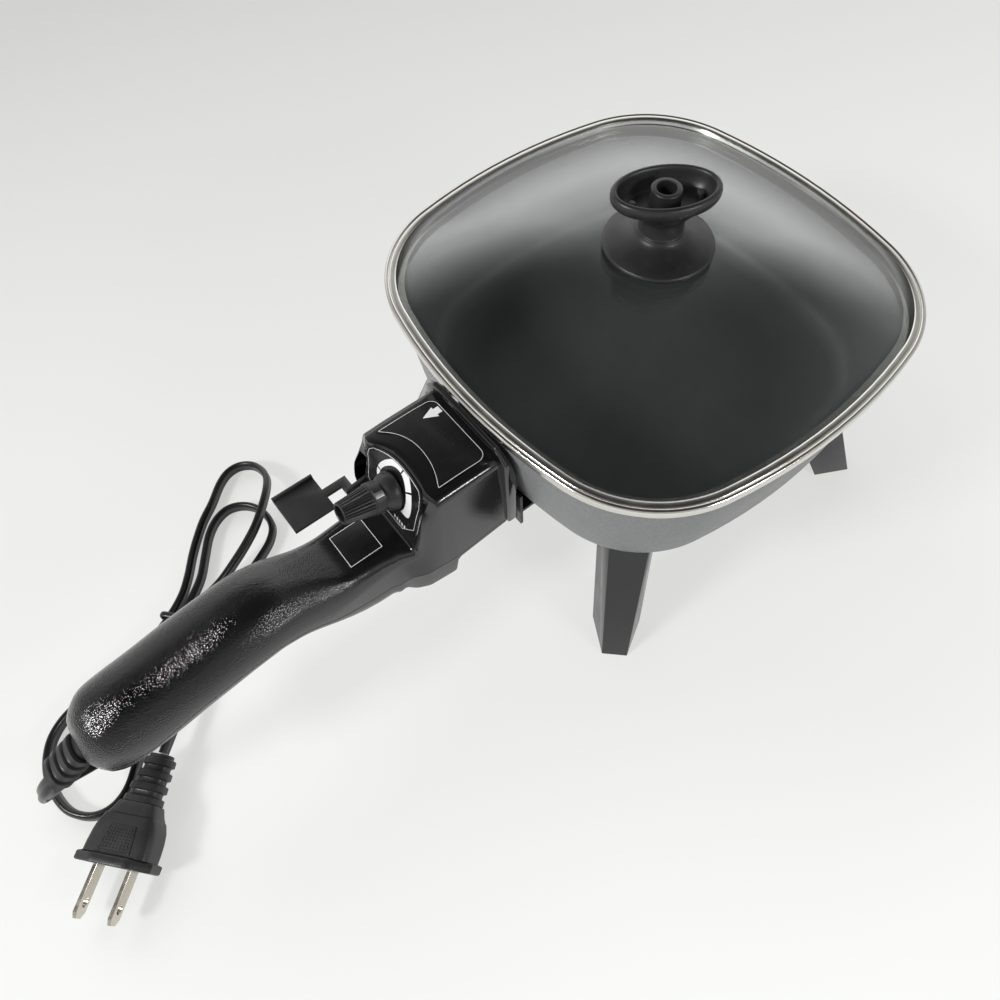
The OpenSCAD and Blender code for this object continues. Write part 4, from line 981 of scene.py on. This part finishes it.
def make_temperature_knob():
    profile = [(3, -0.8, 0), (6.9, -0.8, 0), (7.1, 0.2, 0), (7.1, 0.7, 0), (6.95, 1.4, 0),
               (6.6, 2.4, 0), (6.1, 3.3, 0), (5.6, 4, 0), (5.3, 4.5, 0), (5.25, 4.9, 0),
               (5.8, 5, 0), (6, 5.2, 0), (6, 8.5, 0), (5.8, 8.75, 0), (5.5, 8.8, 0), (5.5, 9, 0.1),
               (5.48, 9.3, 0.45), (4.1, 19.5, 0.38), (4, 19.85, 0.2), (3.75, 20, 0), (3.2, 20, 0),
               (3, 19.8, 0), (2.9, 18.1, 0), (2.6, 18, 0)]
    knob = draw_through("temperature_knob_shape", [dial_ring(*row) for row in profile])
    settle(knob, 38, "dial", KNOB_BLACK, "temperature_knob")
    rows = [[on_dial(6.02 * cos(w), 6.02 * sin(w), DISC_Z + 5.2 + 3.3 * k / 4)
             for w in (radians(-40 + 2 * i) for i in range(11))] for k in range(5)]
    patch("pointer_stripe", rows, POINTER, "dial", 0.12, "knob_pointer")


# ---- cord, plug and reliefs ----

RELIEF_FROM = Vector((-241.5, 0, 58.2))
RELIEF_TO = Vector((-258, 1, 48))
PLUG_AT = Vector((-265.7, -22.7, 9))
PLUG_DIR = Vector((0.763, 0.646, 0)).normalized()
PLUG_SIDE = Vector((-PLUG_DIR.y, PLUG_DIR.x, 0))
CORD_END = PLUG_AT + 39.2 * PLUG_DIR
# The middle of the cord, from the relief to the plug; most of it lies at LAID_Z
LAID_Z = 3.2
ROUTE = [RELIEF_TO, (-264, 2, 42.5), (-268, 5, 34), (-269, 9, 25), (-265, 13, 18), (-257, 14, 13.5),
         (-248, 14, 11.5), (-239, 17, 11), (-230, 21, 9), (-221, 29, 5.5), (-213, 39, 3.6),
         (-204, 48, LAID_Z), (-195, 53, LAID_Z), (-186, 56, 3.4), (-178, 59, 5), (-170, 62, 7.5),
         (-162, 66, 10), (-155, 72, 11), (-149, 79, 10.5), (-145.5, 86, 8.5), (-145, 93, 6),
         (-147, 99.5, 4.2), (-152, 103.5, 3.4)]
LAID = [(-158, 103.5), (-164, 100), (-171, 93.5), (-178, 88), (-184, 82), (-190, 75), (-196, 67),
        (-202, 60.5), (-210, 55), (-221, 50), (-233, 47), (-246, 45), (-258, 43), (-266, 39),
        (-271, 33), (-274, 25), (-274.5, 16), (-272.5, 7.5), (-267, 1), (-260, -1), (-253, 1.5),
        (-246.5, 8), (-239.5, 17), (-232, 26), (-224, 35), (-216, 44), (-207, 51.5), (-199, 57),
        (-192, 63), (-186, 71), (-180, 79), (-174, 84), (-167.5, 86), (-161.5, 84), (-157, 79),
        (-155, 72), (-156, 65), (-160.5, 59.5), (-167, 55.5), (-175, 51.5), (-184, 47.5),
        (-193, 44.5), (-200, 41.5)]
ROUTE += [(x, y, LAID_Z) for x, y in LAID]
ROUTE += [(-206, 36, 3.4), (-210, 28, 4.6), (-217, 19, 7), (-226, 11, 9), CORD_END]


def make_cord():
    """A twin-core cord with a groove along both sides. Near the relief its section is
    carried along the line without twist, and turned to stand upright further on."""
    line = spline(ROUTE, 6)
    length = sum((b - a).length for a, b in zip(line, line[1:])) / 1000
    last = len(line) - 1
    aims = [(line[min(i + 1, last)] - line[max(i - 1, 0)]).normalized() for i in range(last + 1)]
    wide, high, groove, groove_high = 1.65, 3.05, 0.32, 0.75
    section = []
    for i in range(20):
        a = 2 * pi * (i + 0.5) / 20
        waist = 1 - groove * exp(-((sin(a) * high / groove_high) ** 2))
        section.append((wide * cos(a) * waist, high * sin(a)))
    upright = [(UP - UP.dot(a) * a).normalized() for a in aims]
    carried = [upright[0].cross(aims[0])]
    for a in aims[1:]:
        carried.append((carried[-1] - carried[-1].dot(a) * a).normalized())
    turn_from, turn_to = 12, 48
    gap = carried[turn_to].angle(upright[turn_to])
    if carried[turn_to].cross(upright[turn_to]).dot(aims[turn_to]) < 0:
        gap = -gap
    flip = 1
    if abs(gap) > pi / 2:
        gap -= copysign(pi, gap)
        flip = -1
    rings = []
    for i, (p, a) in enumerate(zip(line, aims)):
        if i < turn_to:
            share = ease((i - turn_from) / (turn_to - turn_from))
            tall = Matrix.Rotation(gap * share, 3, a) @ carried[i]
        else:
            tall = flip * upright[i]
        side = a.cross(tall)
        rings.append([tuple(p + w * side + h * tall) for w, h in section])
    cord = draw_through("cord_run", rings)
    settle(cord, 60, "handle", CORD, "power_cord")
    return cord, [at(*p) for p in line], length


def set_in(origin, aim, side, up):
    """A function that gives the point t along aim, p to the side and q up from an origin."""
    return lambda t, p, q: tuple(origin + t * aim + p * side + q * up)


def squarish(a, b, power, sides=40):
    """An oval of half widths a and b, squarer with a lower power."""
    ring = []
    for i in range(sides):
        w = 2 * pi * i / sides
        c, s = cos(w), sin(w)
        ring.append((copysign(a * abs(c) ** power, c), copysign(b * abs(s) ** power, s)))
    return ring


# One rib of a sleeve: share of the pitch, and how far it lies below the rib's top
RIB = [(0.0, 0.9), (0.04, 0.35), (0.1, 0), (0.54, 0), (0.6, 0.35), (0.64, 1.1), (0.9, 1.1)]


def ribbed(name, place, length, first, last, ribs):
    """A sleeve of rounded ribs that narrows from the first to the last half widths."""
    rings = []
    pitch = length / ribs
    for k in range(ribs):
        for share, drop in RIB:
            t = (k + share) * pitch
            a, b = (f + (e - f) * t / length - drop for f, e in zip(first, last))
            rings.append([place(t, p, q) for p, q in squarish(a, b, 0.72)])
    return draw_through(name, rings)


def octagon(a, b):
    """A box outline of 56 points with its corners cut off, which fall on steps 4 and 10."""
    sides, cut_share = 56, 1.4816
    ring = []
    for i in range(sides):
        c, s = cos(2 * pi * i / sides), sin(2 * pi * i / sides)
        reach = max(abs(c), abs(s), (abs(c) + abs(s)) / cut_share)
        ring.append((a * c / reach, b * s / reach))
    return ring


def make_relief():
    aim = (RELIEF_TO - RELIEF_FROM).normalized()
    side = UP.cross(aim).normalized()
    up = aim.cross(side)
    length, bare = (RELIEF_TO - RELIEF_FROM).length, 4.4
    place = set_in(RELIEF_FROM, aim, side, up)
    core = draw_through("core", [[place(t, p, q) for p, q in squarish(5, 3, 0.8)]
                                 for t in (0, length - 1, length + 0.6)])
    sleeve = ribbed("sleeve", set_in(RELIEF_FROM + bare * aim, aim, side, up), length - bare,
                    (6, 4.6), (6, 4.2), 4)
    relief = joined("strain_relief_shape", [sleeve, core])
    settle(relief, 40, "handle", PLUG_BLACK, "strain_relief")


# The plug's flange and body: distance from its face, half width and half height, and how
# square it is
PLUG_FLANGE = [(0.1, 12.9, 7.6), (0, 13.5, 8.1), (0.25, 14.0, 8.5), (0.6, 14.2, 8.6),
               (2.6, 14.2, 8.6), (3.0, 13.9, 8.4), (3.2, 13.1, 8.0)]
PLUG_BODY = [(3.4, 12.3, 7.3, 0.4), (6, 12.1, 7.3, 0.36), (10, 11.7, 7.3, 0.36),
             (13.2, 11.0, 7.3, 0.36), (15.6, 9.9, 7.2, 0.36), (16.4, 9.5, 7.1, 0.36),
             (16.6, 9.3, 6.4, 0.38), (18.4, 8.2, 6.2, 0.4), (20.4, 7.4, 5.9, 0.42),
             (21.1, 7.1, 5.6, 0.45)]
PLUG_CORE = [(20, 5.6, 4.4), (38.6, 4.2, 3.2)]
# The raised frame round the dots: growth outward and height over the plug's middle
PLUG_RIM = [(0.3, 7.0), (0.3, 7.45), (0.2, 7.55), (-0.1, 7.55), (-0.2, 7.45), (-0.2, 7.15)]


def make_plug():
    place = set_in(PLUG_AT, PLUG_DIR, PLUG_SIDE, UP)

    def ring(t, flat):
        return [place(t, p, q) for p, q in flat]

    def rim_ring(grow, z):
        near, far = (4.4 - grow, 5.8 + grow), (12.8 + grow, 4.6 + grow)
        corners = [near, far, (far[0], -far[1]), (near[0], -near[1])]
        return [place(t, w, z) for t, w in lined(corners, 2)]

    body = draw_through("plug_core",
                        [ring(t, octagon(w, h)) for t, w, h in PLUG_FLANGE]
                        + [ring(t, squarish(w, h, power, 56)) for t, w, h, power in PLUG_BODY])
    sleeve = ribbed("sleeve", set_in(PLUG_AT + 20.9 * PLUG_DIR, PLUG_DIR, PLUG_SIDE, UP), 18.1,
                    (7, 5.7), (5.4, 4.2), 4)
    core = draw_through("core", [ring(t, squarish(w, h, 0.8)) for t, w, h in PLUG_CORE])
    dots = []
    for row in range(7):
        for k in range(8):
            spot = place(5.6 + 1.0 * row, (k - 3.5) * (1.28 - 0.035 * row), 7.25)
            bpy.ops.mesh.primitive_ico_sphere_add(subdivisions=1, radius=0.00034,
                                                  location=at(*spot))
            dots.append(set_down("dot"))
    rim = draw_through("rim", [rim_ring(grow, z) for grow, z in PLUG_RIM])
    plug = joined("plug_shape", [body, sleeve, core, rim] + dots)
    settle(plug, 38, "handle", PLUG_BLACK, "plug_body")
    return plug


def make_blades():
    """Two flat blades with their corners cut off and a hole near the tip."""
    blades = []
    for name, s in (("a", 1), ("b", -1)):
        middle = PLUG_AT + s * -6.35 * PLUG_SIDE
        outline_2d = [(1, -3.15), (1, 3.15), (-15.2, 3.15), (-17, 1.5), (-17, -1.5), (-15.2, -3.15)]
        rings = []
        for w, shrink in ((-0.75, 0.15), (-0.6, 0), (0.6, 0), (0.75, 0.15)):
            rings.append([tuple(middle + (t + copysign(shrink, -t)) * PLUG_DIR + w * PLUG_SIDE
                                + (h - copysign(shrink, h)) * UP) for t, h in outline_2d])
        blade = draw_through("blade_shape_" + name, rings)
        hole = middle - 12 * PLUG_DIR
        cut(blade, rod("hole", hole - 3 * PLUG_SIDE, hole + 3 * PLUG_SIDE, 1.6))
        settle(blade, 30, "handle", BLADE, "plug_blade_" + name)
        blades.append(blade)
    return blades


def make_tie():
    """Coated wire bent round the four runs as one closed band."""
    turn = radians(41)
    middle = Vector((-206, 49.6, 0))
    across = Vector((-sin(turn), cos(turn), 0))
    along = Vector((cos(turn), sin(turn), 0))
    loop = [(-12.6, 0.7), (-13.4, 2.2), (-13.4, 5), (-12.4, 6.9), (-6, 7.3), (0, 7.3), (5, 7.3),
            (8.8, 6.9), (9.8, 5), (9.8, 2.2), (9, 0.7), (5, 0.6), (0, 0.6), (-6, 0.6)]
    line = spline([middle + across * a + UP * z for a, z in loop + loop[:1]], 4)[:-1]
    rings = []
    for i, p in enumerate(line):
        aim = (line[(i + 1) % len(line)] - line[i - 1]).normalized()
        out = along.cross(aim)
        rings.append([tuple(p + along * 1.2 * cos(w) + out * 0.5 * sin(w))
                      for w in (2 * pi * k / 10 for k in range(10))])
    band = draw_round("cord_tie_shape", rings)
    settle(band, 50, "handle", CORD, "cord_tie")
    return band


# ---- plain parts that keep their shape ----

def dress_plain_parts():
    screws = [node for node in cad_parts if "_screw" in node]
    finishes = {
        SCREW: screws + ["knob_washer", "knob_nut", "lever_pin", "dial_shaft"],
        SHEATH: ["heating_element"],
        PIN: ["terminal_pin_a", "terminal_pin_b", "sensor_probe", "socket_a", "socket_b"],
        CERAMIC: ["insulator_a", "insulator_b"],
        BLACK_STEEL: ["latch_bracket"],
        GASKET: ["knob_gasket", "lead_a", "cord_clamp", "cord_tail"],
        BRASS: ["fixed_contact", "moving_contact"],
        LEAD_WHITE: ["lead_b"],
        FIBRE: ["thermostat_frame"],
    }
    for finish, nodes in finishes.items():
        for node in nodes:
            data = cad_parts[node].data
            data.materials.clear()
            data.materials.append(finish)


make_relief()
cord, cord_path, cord_length = make_cord()
plug = make_plug()
blades = make_blades()
tie = make_tie()
make_pan()
for side in ("front", "right", "rear", "left"):
    refined("leg_" + side, 0.9, "pan", ENAMEL, 3)
make_lid()
make_lid_knob()
make_handle_shells()
make_labels()
make_temperature_knob()
refined("lock_lever", 0.3, "lever", LEVER, 2, 40)
dress_plain_parts()
